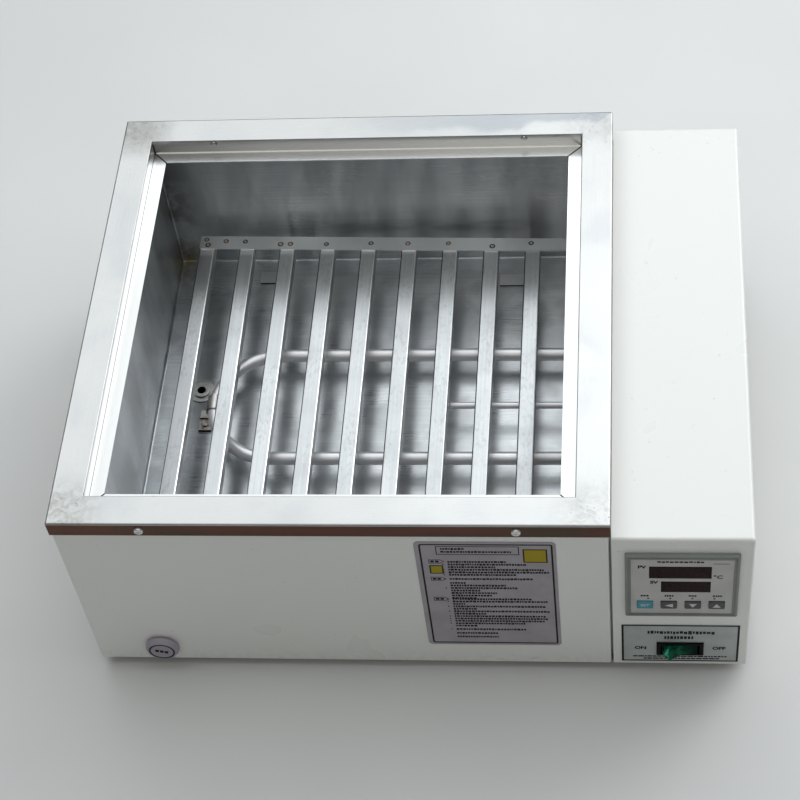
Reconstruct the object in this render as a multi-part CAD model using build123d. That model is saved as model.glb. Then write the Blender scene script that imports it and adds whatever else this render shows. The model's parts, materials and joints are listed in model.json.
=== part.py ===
"""Bench-top water bath: a steel tank in a painted casing, with a control box on its right.

Everything is laid out in millimetres from the front left bottom corner of the bath: X to the right,
Y to the back, Z up, with Z = 0 at the bottom edge of the casing. The finished pieces are then moved
together, so that the origin lies on the bench under the middle of the object.
"""

from build123d import *
import math
import os

# ---------------------------------------------------------------- driving dimensions
BATH_WIDTH = 355.0
BATH_DEPTH = 355.0
BATH_HEIGHT = 168.0
BOX_WIDTH = 88.5
BOX_HEIGHT = 151.0
SHEET = 1.0
TANK_SHEET = 0.8

RIM_WIDTH = 21.7
SKIRT_HEIGHT = 12.7
SKIRT_REACH = 1.2
LEDGE_DROP = 12.2
LEDGE_WIDTH = 9.6
MITRE_GAP = 0.5

TANK_FLOOR = 35.0
TANK_INSET = RIM_WIDTH - SHEET - 0.1
INSULATION_GAP = 0.3

RACK_TOP = 76.0
RACK_SIZE = 288.0
RACK_LEFT = 43.6
RACK_FRONT = 35.5
RACK_SKEW = 1.45
BACK_BAR_SETBACK = 4.0
SLATS = 10
SLAT_WIDTH = 11.6
SLAT_HEIGHT = 8.0
BAR_WIDTH = 12.4
RACK_LIFT_LEAN = 0.12
LEG_WIDTH = 11.0

HEATER_TUBE = 9.4
HEATER_LEVEL = 50.0
HEATER_BACK = 227.4
HEATER_FRONT = 134.8
HEATER_BEND_X = 113.4
PROBE_TUBE = 5.0
PROBE_TIP_X = 237.4

DRAIN_X = 52.0
DRAIN_Y = 206.0
OUTLET_X = 47.8
OUTLET_Z = 17.5
DRAIN_BORE = 3.2
DRAIN_BOSS = 6.2
DRAIN_FLANGE = 10.2
PLUG_BORE = 12.0
PLUG_CLEARANCE = 0.05
PLUG_GAP = 1.1
OUTLET_RADIUS = 8.0
HOSE_OUTER = 12.0
HOSE_BEND = 8.5
BARB_RADIUS = 4.1

CONTROLLER_WIDTH = 71.6
CONTROLLER_BOTTOM = 64.9
CONTROLLER_PROUD = 2.8
FACE_WIDTH = 64.6
BEZEL_GROOVE = 0.6
FACE_RECESS = 0.8
KEY_WIDTH = 10.0
KEY_HEIGHT = 8.4
KEY_PITCH = 15.2
KEY_LEVEL = 78.8
KEY_TRAVEL = 0.8
KEY_GAP = 0.25
KEY_COLLAR = 0.9
LAMP_PITCH = 14.0
LAMP_LEVEL = 86.1
HOUSING_HALF = 33.3
HOUSING_DEPTH = 90.0

SWITCH_WIDTH = 31.0
SWITCH_HEIGHT = 15.0
SWITCH_LEVEL = 20.8
SWITCH_PROUD = 1.8
SWITCH_HOLE = (13.9, 6.7)
ROCKER_RADIUS = 12.6
ROCKER_HEIGHT = 11.4
ROCKER_TILT = 15.0
ROCKER_PIN = 1.5

FOOT_HEIGHT = 8.0
FOOT_RADIUS = 11.0
SCREW_HEAD = 3.0
RIVET_HEAD = 1.8
INLET_Z = 40.0
LIFTED = (Align.CENTER, Align.CENTER, Align.MIN)

# ---------------------------------------------------------------- places worked out from them
CASING = (SKIRT_REACH, BATH_WIDTH - SKIRT_REACH)
CASING_TOP = BATH_HEIGHT - SHEET - 0.2
FRONT = SKIRT_REACH
BACK = BATH_DEPTH - SKIRT_REACH
LEDGE_TOP = BATH_HEIGHT - LEDGE_DROP
OPENING = (RIM_WIDTH + LEDGE_WIDTH, BATH_WIDTH - RIM_WIDTH - LEDGE_WIDTH)
TANK = (TANK_INSET, BATH_WIDTH - TANK_INSET)
BOX_LEFT = BATH_WIDTH + 0.2
BOX_RIGHT = BATH_WIDTH + BOX_WIDTH
BOX_MIDDLE = BATH_WIDTH + BOX_WIDTH / 2
PARTITION = (CASING[1] + 0.1, BOX_LEFT - 0.1)
FACE_FRONT = FRONT - CONTROLLER_PROUD + FACE_RECESS
SLAT_PITCH = (RACK_SIZE - SLAT_WIDTH) / (SLATS - 1)
BASE_TOP = 0.0
PIVOT_Y = FRONT + 3.9
HEATER_BEND = (HEATER_BACK - HEATER_FRONT) / 2
HEATER_MIDDLE = (HEATER_BACK + HEATER_FRONT) / 2
FEET = [(x, y) for x in (30.0, BOX_RIGHT - 25.0) for y in (30.0, BATH_DEPTH - 30.0)]
KEY_XS = [BOX_MIDDLE - 23.2 + KEY_PITCH * i for i in range(4)]
LAMP_XS = [BOX_MIDDLE - 21.2 + LAMP_PITCH * i for i in range(4)]
CONTROLLER_MIDDLE = CONTROLLER_BOTTOM + CONTROLLER_WIDTH / 2
WINDOWS = {
    "pv_window": ((BOX_MIDDLE - 20.8, BOX_MIDDLE + 18.3), (109.8, 123.8)),
    "sv_window": ((BOX_MIDDLE - 13.2, BOX_MIDDLE + 18.1), (93.5, 106.4)),
}
CLIP_X = HEATER_BEND_X - HEATER_BEND
CLIP_Y = (HEATER_MIDDLE - 5.5, HEATER_MIDDLE + 7.0)
CLIP_FOOT_Y = (HEATER_MIDDLE - 12.0, HEATER_MIDDLE - 1.0)
COVER_SCREW_YS = (60.0, BATH_DEPTH / 2, BATH_DEPTH - 60.0)
BACK_SCREW_XS = (BOX_LEFT + 14, BOX_RIGHT - 14)
RELAY = ((BOX_MIDDLE - 18, BOX_MIDDLE + 27), (262, 320), (BASE_TOP, 23))
TERMINAL_BLOCK = ((BOX_MIDDLE - 22, BOX_MIDDLE + 26), (104, 122), (BASE_TOP, 16))
SKIRT_SCREW_XS = (59.5, 297.0)
RIM_RIVET_XS = (67.0, 292.1)


# ---------------------------------------------------------------- shape helpers
def block(x, y, z):
    """A box given by its three spans."""
    size = Box(x[1] - x[0], y[1] - y[0], z[1] - z[0])
    return Pos((x[0] + x[1]) / 2, (y[0] + y[1]) / 2, (z[0] + z[1]) / 2) * size


def centred(middle, half, y):
    """A box across the front: middle and half size in X and Z, and its span in Y."""
    return block((middle[0] - half[0], middle[0] + half[0]), y, (middle[1] - half[1], middle[1] + half[1]))


def rod(axis, centre, radius, span):
    """A cylinder along one axis: centre gives the two other coordinates, in X, Y, Z order."""
    middle = (span[0] + span[1]) / 2
    bar = Cylinder(radius, abs(span[1] - span[0]))
    if axis == "x":
        return Pos(middle, centre[0], centre[1]) * Rot(0, 90, 0) * bar
    if axis == "y":
        return Pos(centre[0], middle, centre[1]) * Rot(90, 0, 0) * bar
    return Pos(centre[0], centre[1], middle) * bar


def ring(axis, centre, outer, inner, span):
    """A tube along one axis."""
    return rod(axis, centre, outer, span) - rod(axis, centre, inner, span)


def hexagon(axis, centre, across_flats, span):
    """A hexagonal bar along one axis."""
    bar = extrude(RegularPolygon(across_flats / math.sqrt(3), 6), span[1] - span[0])
    if axis == "x":
        return Pos(span[0], centre[0], centre[1]) * Rot(0, 90, 0) * bar
    if axis == "y":
        return Pos(centre[0], span[1], centre[1]) * Rot(90, 0, 0) * bar
    return Pos(centre[0], centre[1], span[0]) * bar


def group(pieces):
    """Separate solids that share one node."""
    return Compound([solid for piece in pieces for solid in piece.solids()])


def upright_edges(shape):
    return shape.edges().filter_by(Axis.Z)


def lead(points, radius, bend):
    """A round wire along straight runs joined by tangent arcs."""
    path = FilletPolyline(*points, radius=bend)
    section = Plane(origin=path @ 0, z_dir=path % 0) * Circle(radius)
    return sweep(section, path=path)


# ---------------------------------------------------------------- bath
def rim_frame():
    """Formed steel frame: skirt, flat top, drop wall and lid ledge, mitred at the corners."""
    whole = (0.0, BATH_WIDTH)
    shell = block(whole, whole, (BATH_HEIGHT - SKIRT_HEIGHT, BATH_HEIGHT))
    shell = fillet(upright_edges(shell), 0.8)
    shell = fillet(shell.faces().sort_by(Axis.Z)[-1].edges(), 1.3)
    inside = (SHEET, BATH_WIDTH - SHEET)
    shell -= block(inside, inside, (0, BATH_HEIGHT - SHEET))
    well = (RIM_WIDTH, BATH_WIDTH - RIM_WIDTH)
    shell -= block(well, well, (0, BATH_HEIGHT + 1))
    shell = fillet(inner_top_edges(shell, well), 0.7)
    drop_outer = (RIM_WIDTH - SHEET, BATH_WIDTH - RIM_WIDTH + SHEET)
    drop = block(drop_outer, drop_outer, (LEDGE_TOP - SHEET, BATH_HEIGHT - SHEET))
    drop = fillet(upright_edges(drop), 1.6)
    drop -= block(well, well, (LEDGE_TOP, BATH_HEIGHT))
    drop -= block(OPENING, OPENING, (0, BATH_HEIGHT))
    shell += drop
    for x in OPENING:
        for y in OPENING:
            shell -= mitre_slit(x, y)
    for x in SKIRT_SCREW_XS:
        for skirt in (0.0, BATH_DEPTH):
            shell -= rod("y", (x, BATH_HEIGHT - 6.9), 1.6, (skirt - 3, skirt + 3))
    return shell


def inner_top_edges(shell, well):
    top = shell.edges().filter_by(lambda e: abs(e.center().Z - BATH_HEIGHT) < 0.01)
    near = [e for e in top if well[0] - 0.1 < e.center().X < well[1] + 0.1]
    return [e for e in near if well[0] - 0.1 < e.center().Y < well[1] + 0.1]


def mitre_slit(x, y):
    """The open seam across a corner of the ledge and up the corner of the drop wall."""
    middle = BATH_WIDTH / 2
    sx = 1 if x > middle else -1
    sy = 1 if y > middle else -1
    length = LEDGE_WIDTH * math.sqrt(2) + 1.0
    slit = Box(length, MITRE_GAP, 3 * SHEET)
    half = LEDGE_WIDTH / 2
    return Pos(x + sx * half, y + sy * half, LEDGE_TOP) * Rot(0, 0, 45 * sx * sy) * slit


def inner_tank():
    """Folded steel tank, open at the top, with holes for the drain, the heater and the probe."""
    low = TANK_FLOOR - TANK_SHEET
    outer_span = (TANK[0] - TANK_SHEET, TANK[1] + TANK_SHEET)
    outer = block(outer_span, outer_span, (low, CASING_TOP))
    outer = fillet(upright_edges(outer), 2.3)
    outer = fillet(outer.faces().sort_by(Axis.Z)[0].edges(), 2.3)
    hollow = block(TANK, TANK, (TANK_FLOOR, CASING_TOP + 5))
    hollow = fillet(upright_edges(hollow), 1.5)
    hollow = fillet(hollow.faces().sort_by(Axis.Z)[0].edges(), 1.5)
    tank = outer - hollow
    tank -= rod("z", (DRAIN_X, DRAIN_Y), 7.0, (low - 1, TANK_FLOOR + 1))
    wall = (TANK[1] - 5, TANK[1] + 5)
    for y in (HEATER_BACK, HEATER_FRONT):
        tank -= rod("x", (y, HEATER_LEVEL), 6.1, wall)
    tank -= rod("x", (HEATER_MIDDLE, HEATER_LEVEL), 4.1, wall)
    return tank


def rim_rivets():
    """Blind rivets that hold the drop wall of the rim to the tank wall."""
    rivets = []
    level = LEDGE_TOP + 9.3
    for x in RIM_RIVET_XS:
        for face, out in ((RIM_WIDTH, 1), (BATH_DEPTH - RIM_WIDTH, -1)):
            head = Pos(x, face, level) * Rot(-90 * out, 0, 0) * Cylinder(RIVET_HEAD, 0.9, align=LIFTED)
            rivets.append(fillet(head.faces().sort_by(Axis.Y)[-1 if out > 0 else 0].edges(), 0.5))
    return group(rivets)


def screw_head(x, y, z, out, radius=SCREW_HEAD, proud=1.8):
    """A pan head with a cross slot, standing on a wall that faces -Y (out = -1), +Y or +X (out = 2)."""
    head = Cylinder(radius, proud, align=LIFTED)
    head = fillet(head.faces().sort_by(Axis.Z)[-1].edges(), proud * 0.6)
    for turn in (0, 90):
        head -= Pos(0, 0, proud) * Rot(0, 0, turn) * Box(radius * 1.1, 0.7, 1.4)
    head += Pos(0, 0, -6.0) * Cylinder(radius * 0.48, 6.0, align=LIFTED)
    turn = {-1: Rot(90, 0, 0), 1: Rot(-90, 0, 0), 2: Rot(0, 90, 0), 3: Rot(180, 0, 0)}[out]
    return Pos(x, y, z) * turn * head


def rim_screws():
    level = BATH_HEIGHT - 6.9
    heads = [screw_head(x, 0, level, -1) for x in SKIRT_SCREW_XS]
    heads += [screw_head(x, BATH_DEPTH, level, 1) for x in SKIRT_SCREW_XS]
    return group(heads)


def outer_casing():
    """Painted steel wrapper with a folded-in bottom flange."""
    casing = block(CASING, CASING, (0, CASING_TOP))
    casing = fillet(upright_edges(casing), 1.5)
    inside = (CASING[0] + SHEET, CASING[1] - SHEET)
    casing -= block(inside, inside, (SHEET, CASING_TOP + 1))
    flange = (CASING[0] + 14, CASING[1] - 14)
    casing -= block(flange, flange, (-1, 2))
    casing -= rod("y", (OUTLET_X, OUTLET_Z), OUTLET_RADIUS + 0.2, (0, 5))
    side = (CASING[1] - 3, CASING[1] + 1)
    for y in (HEATER_BACK, HEATER_FRONT, HEATER_MIDDLE):
        casing -= rod("x", (y, HEATER_LEVEL), 11.0, side)
    for x in SKIRT_SCREW_XS:
        casing -= rod("y", (x, BATH_HEIGHT - 6.9), 1.5, (-1, BATH_DEPTH + 1))
    for x, y in base_screw_places():
        casing -= rod("z", (x, y), 1.5, (-1, 2))
    return casing


def base_screw_places():
    edges = (CASING[0] + 8, CASING[1] - 8)
    return [(x, y) for x in (80.0, BATH_WIDTH - 80.0) for y in edges]


def base_plate():
    """One plate under the bath and the control box, turned up along the box's right and back."""
    plate = block((3.0, BOX_RIGHT - 1.4), (3.0, BACK - 2.0), (-SHEET, BASE_TOP))
    plate = fillet(upright_edges(plate), 3.0)
    plate += block((BOX_RIGHT - 2.2, BOX_RIGHT - 1.2), (20, BACK - 20), (-SHEET, 14.0))
    plate += block((BOX_LEFT + 6, BOX_RIGHT - 8), (BACK - 2.2, BACK - 1.2), (-SHEET, 14.0))
    for x, y in FEET:
        plate -= rod("z", (x, y), 2.2, (-3, 1))
    for x, y in base_screw_places():
        plate -= rod("z", (x, y), 1.5, (-3, 1))
    for i in range(8):
        slot = block((BOX_LEFT + 30, BOX_RIGHT - 20), (0, 3.0), (-3, 1))
        plate -= Pos(0, 150 + 8.0 * i, 0) * slot
    for y in COVER_SCREW_YS:
        plate -= rod("x", (y, 7.0), 1.5, (BOX_RIGHT - 4, BOX_RIGHT))
    for x in BACK_SCREW_XS:
        plate -= rod("y", (x, 7.0), 1.5, (BACK - 4, BACK))
    return plate


def base_screws():
    low = -SHEET
    return group([screw_head(x, y, low, 3, 2.6, 1.5) for x, y in base_screw_places()])


def feet():
    """Tapered rubber feet with a recess for the screw head."""
    shapes = []
    for x, y in FEET:
        foot = Cone(FOOT_RADIUS - 2, FOOT_RADIUS, FOOT_HEIGHT, align=LIFTED)
        foot = fillet(foot.faces().sort_by(Axis.Z)[0].edges(), 1.0)
        foot -= Pos(0, 0, -1) * Cylinder(4.5, 4.0, align=LIFTED)
        foot -= Cylinder(2.2, FOOT_HEIGHT + 1, align=LIFTED)
        shapes.append(Pos(x, y, -SHEET - FOOT_HEIGHT) * foot)
    return group(shapes)


def foot_screws():
    screws = []
    for x, y in FEET:
        seat = -SHEET - FOOT_HEIGHT + 3.0
        screw = Pos(x, y, seat) * Cylinder(2.0, FOOT_HEIGHT + 2.5, align=LIFTED)
        screw += Pos(x, y, seat - 2.2) * Cylinder(3.8, 2.2, align=LIFTED)
        screw += hexagon("z", (x, y), 7.0, (BASE_TOP, 3.0))
        screws.append(screw)
    return group(screws)


def insulation_walls():
    """Four slabs of mineral wool between the tank and the casing."""
    out = (CASING[0] + SHEET + INSULATION_GAP, CASING[1] - SHEET - INSULATION_GAP)
    inner = (TANK[0] - TANK_SHEET - INSULATION_GAP, TANK[1] + TANK_SHEET + INSULATION_GAP)
    level = (TANK_FLOOR, LEDGE_TOP - 8.0)
    left = block((out[0], inner[0]), (inner[0], inner[1]), level)
    right = block((inner[1], out[1]), (inner[0], inner[1]), level)
    for y in (HEATER_BACK, HEATER_FRONT, HEATER_MIDDLE):
        right -= rod("x", (y, HEATER_LEVEL), 12.0, (inner[1] - 1, out[1] + 1))
    front = block(out, (out[0], inner[0] - 0.2), level)
    back = block(out, (inner[1] + 0.2, out[1]), level)
    return group([left, right, front, back])


def insulation_floor():
    """Slab under the tank, with a channel for the drain."""
    out = (CASING[0] + SHEET + INSULATION_GAP, CASING[1] - SHEET - INSULATION_GAP)
    slab = block(out, out, (SHEET + INSULATION_GAP, TANK_FLOOR - TANK_SHEET - INSULATION_GAP))
    slab -= block((OUTLET_X - 13, DRAIN_X + 13), (0, DRAIN_Y + 15), (5, 40))
    for x, y in FEET:
        slab -= rod("z", (x, y), 8.0, (0, 10))
    for x, y in base_screw_places():
        slab -= rod("z", (x, y), 4.0, (0, 9))
    return slab


# ---------------------------------------------------------------- rack
def back_bar_edge(x):
    """How far back the leaning back bar reaches at x."""
    middle = RACK_LEFT + RACK_SIZE / 2
    return RACK_FRONT + RACK_SIZE - BACK_BAR_SETBACK - (x - middle) * math.tan(math.radians(RACK_SKEW))


def rack_slats():
    """Channels with their open side down, running from front to back."""
    slats = []
    for i in range(SLATS):
        left = RACK_LEFT + SLAT_PITCH * i
        span = (left, left + SLAT_WIDTH)
        top = RACK_TOP - SHEET
        back = back_bar_edge(span[1]) - 0.3
        slat = block(span, (RACK_FRONT + 2, back), (top - SLAT_HEIGHT, top))
        long_edges = slat.edges().filter_by(Axis.Y).group_by(Axis.Z)[-1]
        slat = fillet(long_edges, 1.2)
        inside = (span[0] + SHEET, span[1] - SHEET)
        slat -= block(inside, (0, BATH_DEPTH), (0, top - SHEET))
        slats.append(slat)
    return group(slats)


def rack_bars():
    """The front and back flat bars that the slats are spot-welded under."""
    bars = []
    middle = RACK_LEFT + RACK_SIZE / 2
    back = RACK_FRONT + RACK_SIZE - BAR_WIDTH / 2
    for y, turn in ((RACK_FRONT + BAR_WIDTH / 2, 0.0), (back - BACK_BAR_SETBACK, -RACK_SKEW)):
        bar = Box(RACK_SIZE, BAR_WIDTH, SHEET)
        bar = fillet(upright_edges(bar), 1.0)
        bars.append(Pos(middle, y, RACK_TOP - SHEET / 2) * Rot(0, 0, turn) * bar)
    return group(bars)


def rack_legs():
    """Bent strips: welded inside a slat, straight down, and turned along the tank floor."""
    legs = []
    under = RACK_TOP - 2 * SHEET
    floor = TANK_FLOOR + 0.1
    for i in (2, 8):
        left = RACK_LEFT + SLAT_PITCH * i
        for y in (RACK_FRONT + 10, back_bar_edge(left + SLAT_WIDTH) - LEG_WIDTH - 0.5):
            post = block((left + 1.4, left + 2.6), (y, y + LEG_WIDTH), (floor, under))
            foot = block((left - 20.5, left + 2.6), (y, y + LEG_WIDTH), (floor, floor + 1.2))
            legs.append(post + foot)
    return group(legs)


# ---------------------------------------------------------------- heater and probe
def heater_element():
    """A U-shaped tube heater with threaded collars and terminals at its ends."""
    end = BOX_LEFT + 6.0
    bend = HEATER_BEND_X
    radius = HEATER_TUBE / 2
    straight = [rod("x", (y, HEATER_LEVEL), radius, (bend, end)) for y in (HEATER_BACK, HEATER_FRONT)]
    hoop = Pos(bend, HEATER_MIDDLE, HEATER_LEVEL) * Torus(HEATER_BEND, radius)
    half = block((bend - 100, bend), (HEATER_MIDDLE - 100, HEATER_MIDDLE + 100), (0, 100))
    tube = straight[0] + (hoop & half) + straight[1]
    for y in (HEATER_BACK, HEATER_FRONT):
        tube += rod("x", (y, HEATER_LEVEL), 6.0, (TANK[1] - 9, TANK[1] + 12))
        tube += rod("x", (y, HEATER_LEVEL), 1.5, (end, end + 10))
        tube += block((end + 8, end + 17), (y - 0.4, y + 0.4), (HEATER_LEVEL - 3, HEATER_LEVEL + 3))
    return tube


def heater_nuts():
    """A hexagonal nut inside and one outside the tank wall, on each collar."""
    nuts = []
    for y in (HEATER_BACK, HEATER_FRONT):
        for span in ((TANK[1] - 6.6, TANK[1] - 1.6), (TANK[1] + TANK_SHEET + 1.5, TANK[1] + 6.5)):
            nut = hexagon("x", (y, HEATER_LEVEL), 17.0, span)
            nuts.append(nut - rod("x", (y, HEATER_LEVEL), 6.05, (span[0] - 1, span[1] + 1)))
    return group(nuts)


def heater_seals():
    """Silicone washers between the nuts and the tank wall."""
    seals = []
    for y in (HEATER_BACK, HEATER_FRONT):
        for span in ((TANK[1] - 1.6, TANK[1]), (TANK[1] + TANK_SHEET, TANK[1] + TANK_SHEET + 1.5)):
            seals.append(ring("x", (y, HEATER_LEVEL), 8.5, 6.05, span))
    return group(seals)


def heater_clip():
    """A strap round the end of the U, with a foot on the tank floor that is turned up at both ends."""
    centre = (CLIP_X + 0.2, HEATER_LEVEL)
    loop = ring("y", centre, HEATER_TUBE / 2 + 1.2, HEATER_TUBE / 2 + 0.5, CLIP_Y)
    leg_x = (CLIP_X - 4.6, CLIP_X - 3.8)
    leg = block(leg_x, CLIP_Y, (TANK_FLOOR, HEATER_LEVEL - 3.6))
    foot_x = (CLIP_X - 13, CLIP_X - 3.8)
    low = CLIP_FOOT_Y[0]
    foot = block(foot_x, (low, CLIP_Y[1]), (TANK_FLOOR, TANK_FLOOR + 1.0))
    for y in CLIP_FOOT_Y:
        foot += block(foot_x, (y, y + 0.8), (TANK_FLOOR, TANK_FLOOR + 2.4))
    return loop + leg + foot


def clip_rivet():
    head = Cylinder(2.4, 1.2, align=LIFTED)
    head = fillet(head.faces().sort_by(Axis.Z)[-1].edges(), 0.8)
    return Pos(CLIP_X - 8.6, HEATER_MIDDLE - 6.0, TANK_FLOOR + 1.0) * head


def temperature_probe():
    """A closed steel tube with a rounded tip, halfway between the heater's runs."""
    radius = PROBE_TUBE / 2
    centre = (HEATER_MIDDLE, HEATER_LEVEL)
    tube = rod("x", centre, radius, (PROBE_TIP_X, BOX_LEFT + 8.0))
    return fillet(tube.faces().sort_by(Axis.X)[0].edges(), radius * 0.9)


def probe_gland():
    """Threaded gland through the tank wall, with a hexagon inside."""
    centre = (HEATER_MIDDLE, HEATER_LEVEL)
    gland = rod("x", centre, 4.0, (TANK[1] - 4, TANK[1] + 12))
    gland += hexagon("x", centre, 12.0, (TANK[1] - 9, TANK[1]))
    gland += hexagon("x", centre, 12.0, (TANK[1] + TANK_SHEET, TANK[1] + 5))
    return gland - rod("x", centre, PROBE_TUBE / 2 + 0.02, (TANK[1] - 20, TANK[1] + 20))


# ---------------------------------------------------------------- drain
def drain_fitting():
    """Dished flange on the tank floor with a raised ring, and a spout below."""
    centre = (DRAIN_X, DRAIN_Y)
    top = TANK_FLOOR + 1.0
    flange = rod("z", centre, DRAIN_FLANGE, (TANK_FLOOR, top))
    flange = fillet(flange.faces().sort_by(Axis.Z)[-1].edges(), 0.6)
    flange -= ring("z", centre, DRAIN_FLANGE - 1.4, DRAIN_BOSS + 0.4, (top - 0.4, top + 1))
    boss = rod("z", centre, DRAIN_BOSS, (TANK_FLOOR, top + 1.0))
    flange += fillet(boss.faces().sort_by(Axis.Z)[-1].edges(), 0.7)
    flange += rod("z", centre, 6.9, (TANK_FLOOR - 4.4, TANK_FLOOR))
    flange += rod("z", centre, BARB_RADIUS, (28.6, TANK_FLOOR))
    return flange - rod("z", centre, DRAIN_BORE, (20, 50))


def drain_seal():
    return ring("z", (DRAIN_X, DRAIN_Y), 9.5, 6.95, (TANK_FLOOR - TANK_SHEET - 0.8, TANK_FLOOR - TANK_SHEET))


def drain_nut():
    span = (30.7, TANK_FLOOR - TANK_SHEET - 0.8)
    nut = hexagon("z", (DRAIN_X, DRAIN_Y), 19.0, span)
    return nut - rod("z", (DRAIN_X, DRAIN_Y), 6.95, (20, 40))


def drain_hose():
    """Silicone hose from the spout, down and forward to the outlet."""
    start = Vector(DRAIN_X, DRAIN_Y, 30.5)
    corner = Vector(DRAIN_X, DRAIN_Y, OUTLET_Z)
    straight = Vector(OUTLET_X, FRONT + 60, OUTLET_Z)
    end = Vector(OUTLET_X, FRONT + 19, OUTLET_Z)
    path = FilletPolyline(start, corner, straight, end, radius=HOSE_BEND)
    bore = Circle(BARB_RADIUS + 0.05)
    section = Plane(origin=start, z_dir=(0, 0, -1)) * (Circle(HOSE_OUTER / 2) - bore)
    return sweep(section, path=path)


def drain_outlet():
    """Threaded socket in the front wall: a bore for the plug, then a barb for the hose."""
    centre = (OUTLET_X, OUTLET_Z)
    socket = rod("y", centre, OUTLET_RADIUS, (FRONT - PLUG_GAP + 0.1, FRONT + 16))
    socket += rod("y", centre, 10.5, (FRONT + SHEET, FRONT + SHEET + 1.5))
    socket += rod("y", centre, BARB_RADIUS, (FRONT + 16, FRONT + 30))
    socket -= rod("y", centre, PLUG_BORE / 2, (FRONT - 2, FRONT + 13))
    return socket - rod("y", centre, 3.0, (FRONT, FRONT + 40))


def outlet_nut():
    span = (FRONT + SHEET + 1.5, FRONT + SHEET + 5.5)
    nut = hexagon("y", (OUTLET_X, OUTLET_Z), 21.0, span)
    return nut - rod("y", (OUTLET_X, OUTLET_Z), OUTLET_RADIUS + 0.05, (0, 30))


def drain_plug():
    """Soft stopper with a low mushroom head and a stem that seals the outlet."""
    profile = [
        (0, 0), (11.2, 0), (11.6, -0.6), (11.6, -1.8), (11.2, -3.0), (10.5, -4.0), (9.8, -4.5), (0, -4.5)
    ]
    stem = PLUG_BORE / 2 - PLUG_CLEARANCE
    sketch = make_face(Polyline(*profile, close=True))
    head = revolve(Plane.XY * sketch, Axis.Y)
    head = Pos(OUTLET_X, FRONT - PLUG_GAP, OUTLET_Z) * head
    shaft = rod("y", (OUTLET_X, OUTLET_Z), stem, (FRONT - PLUG_GAP - 0.5, FRONT + 11.5))
    shaft = chamfer(shaft.faces().sort_by(Axis.Y)[-1].edges(), 1.5)
    return head + shaft


# ---------------------------------------------------------------- control box
def control_box_cover():
    """Painted steel cover: front, top, right and back walls, open to the left and below."""
    cover = block((BOX_LEFT, BOX_RIGHT), (FRONT, BACK), (0, BOX_HEIGHT))
    right_edges = upright_edges(cover).sort_by(Axis.X)[-2:]
    cover = fillet(right_edges, 1.5)
    top_edges = cover.faces().sort_by(Axis.Z)[-1].edges()
    keep = [e for e in top_edges if e.center().X > BOX_LEFT + 0.5]
    cover = fillet(keep, 2.4)
    cover -= block((BOX_LEFT - 1, BOX_RIGHT - SHEET), (FRONT + SHEET, BACK - SHEET), (-1, BOX_HEIGHT - SHEET))
    wall = (FRONT - 1, FRONT + SHEET + 1)
    cover -= centred((BOX_MIDDLE, CONTROLLER_MIDDLE), (HOUSING_HALF + 0.3, HOUSING_HALF + 0.3), wall)
    cover -= centred((BOX_MIDDLE, SWITCH_LEVEL), SWITCH_HOLE, wall)
    cover -= block((BOX_MIDDLE - 14, BOX_MIDDLE + 14), (BACK - 2, BACK + 1), (INLET_Z - 10.2, INLET_Z + 10.2))
    for x in (BOX_MIDDLE - 20, BOX_MIDDLE + 20):
        cover -= rod("y", (x, INLET_Z), 1.6, (BACK - 3, BACK + 1))
    for x in BACK_SCREW_XS:
        cover -= rod("y", (x, 7.0), 1.5, (BACK - 3, BACK + 1))
    for y in COVER_SCREW_YS:
        cover -= rod("x", (y, 7.0), 1.5, (BOX_RIGHT - 3, BOX_RIGHT + 1))
    for i in range(7):
        slot = block((BOX_RIGHT - 3, BOX_RIGHT + 1), (230, 290), (0, 3.0))
        cover -= Pos(0, 0, 84 + 7.0 * i) * slot
        back_slot = block((BOX_MIDDLE - 25, BOX_MIDDLE + 25), (BACK - 2, BACK + 1), (0, 3.0))
        cover -= Pos(0, 0, 84 + 7.0 * i) * back_slot
    return cover


def cover_screws():
    heads = [screw_head(BOX_RIGHT, y, 7.0, 2, 2.8, 1.6) for y in COVER_SCREW_YS]
    heads += [screw_head(x, BACK, 7.0, 1, 2.8, 1.6) for x in BACK_SCREW_XS]
    return group(heads)


def partition_plate():
    """Bare steel plate between the bath and the electrics."""
    plate = block(PARTITION, (FRONT + 7, BACK - 7), (BASE_TOP, BOX_HEIGHT - 4))
    plate += block((PARTITION[0], PARTITION[1] + 12), (FRONT + 30, BACK - 30), (BASE_TOP, BASE_TOP + 1.0))
    for y, radius in ((HEATER_BACK, 9.0), (HEATER_FRONT, 9.0), (HEATER_MIDDLE, 6.0)):
        plate -= rod("x", (y, HEATER_LEVEL), radius, (PARTITION[0] - 1, PARTITION[1] + 1))
    return plate


def nameplate():
    plate = block((BOX_MIDDLE - 38.5, BOX_MIDDLE + 38.5), (FRONT - 0.4, FRONT), (3.6, 50.2))
    return plate - centred((BOX_MIDDLE, SWITCH_LEVEL), SWITCH_HOLE, (-5, 5))


def front_label():
    label = block((231.8, 320.9), (FRONT - 0.3, FRONT), (22.6, 148.2))
    return fillet(label.edges().filter_by(Axis.Y), 3.5)


# ---------------------------------------------------------------- controller
def controller_span():
    half = CONTROLLER_WIDTH / 2
    level = (CONTROLLER_BOTTOM, CONTROLLER_BOTTOM + CONTROLLER_WIDTH)
    return (BOX_MIDDLE - half, BOX_MIDDLE + half), level


def face_span(margin=0.0):
    half = FACE_WIDTH / 2 - margin
    middle = CONTROLLER_MIDDLE - 0.6
    return (BOX_MIDDLE - half, BOX_MIDDLE + half), (middle - half, middle + half)


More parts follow.
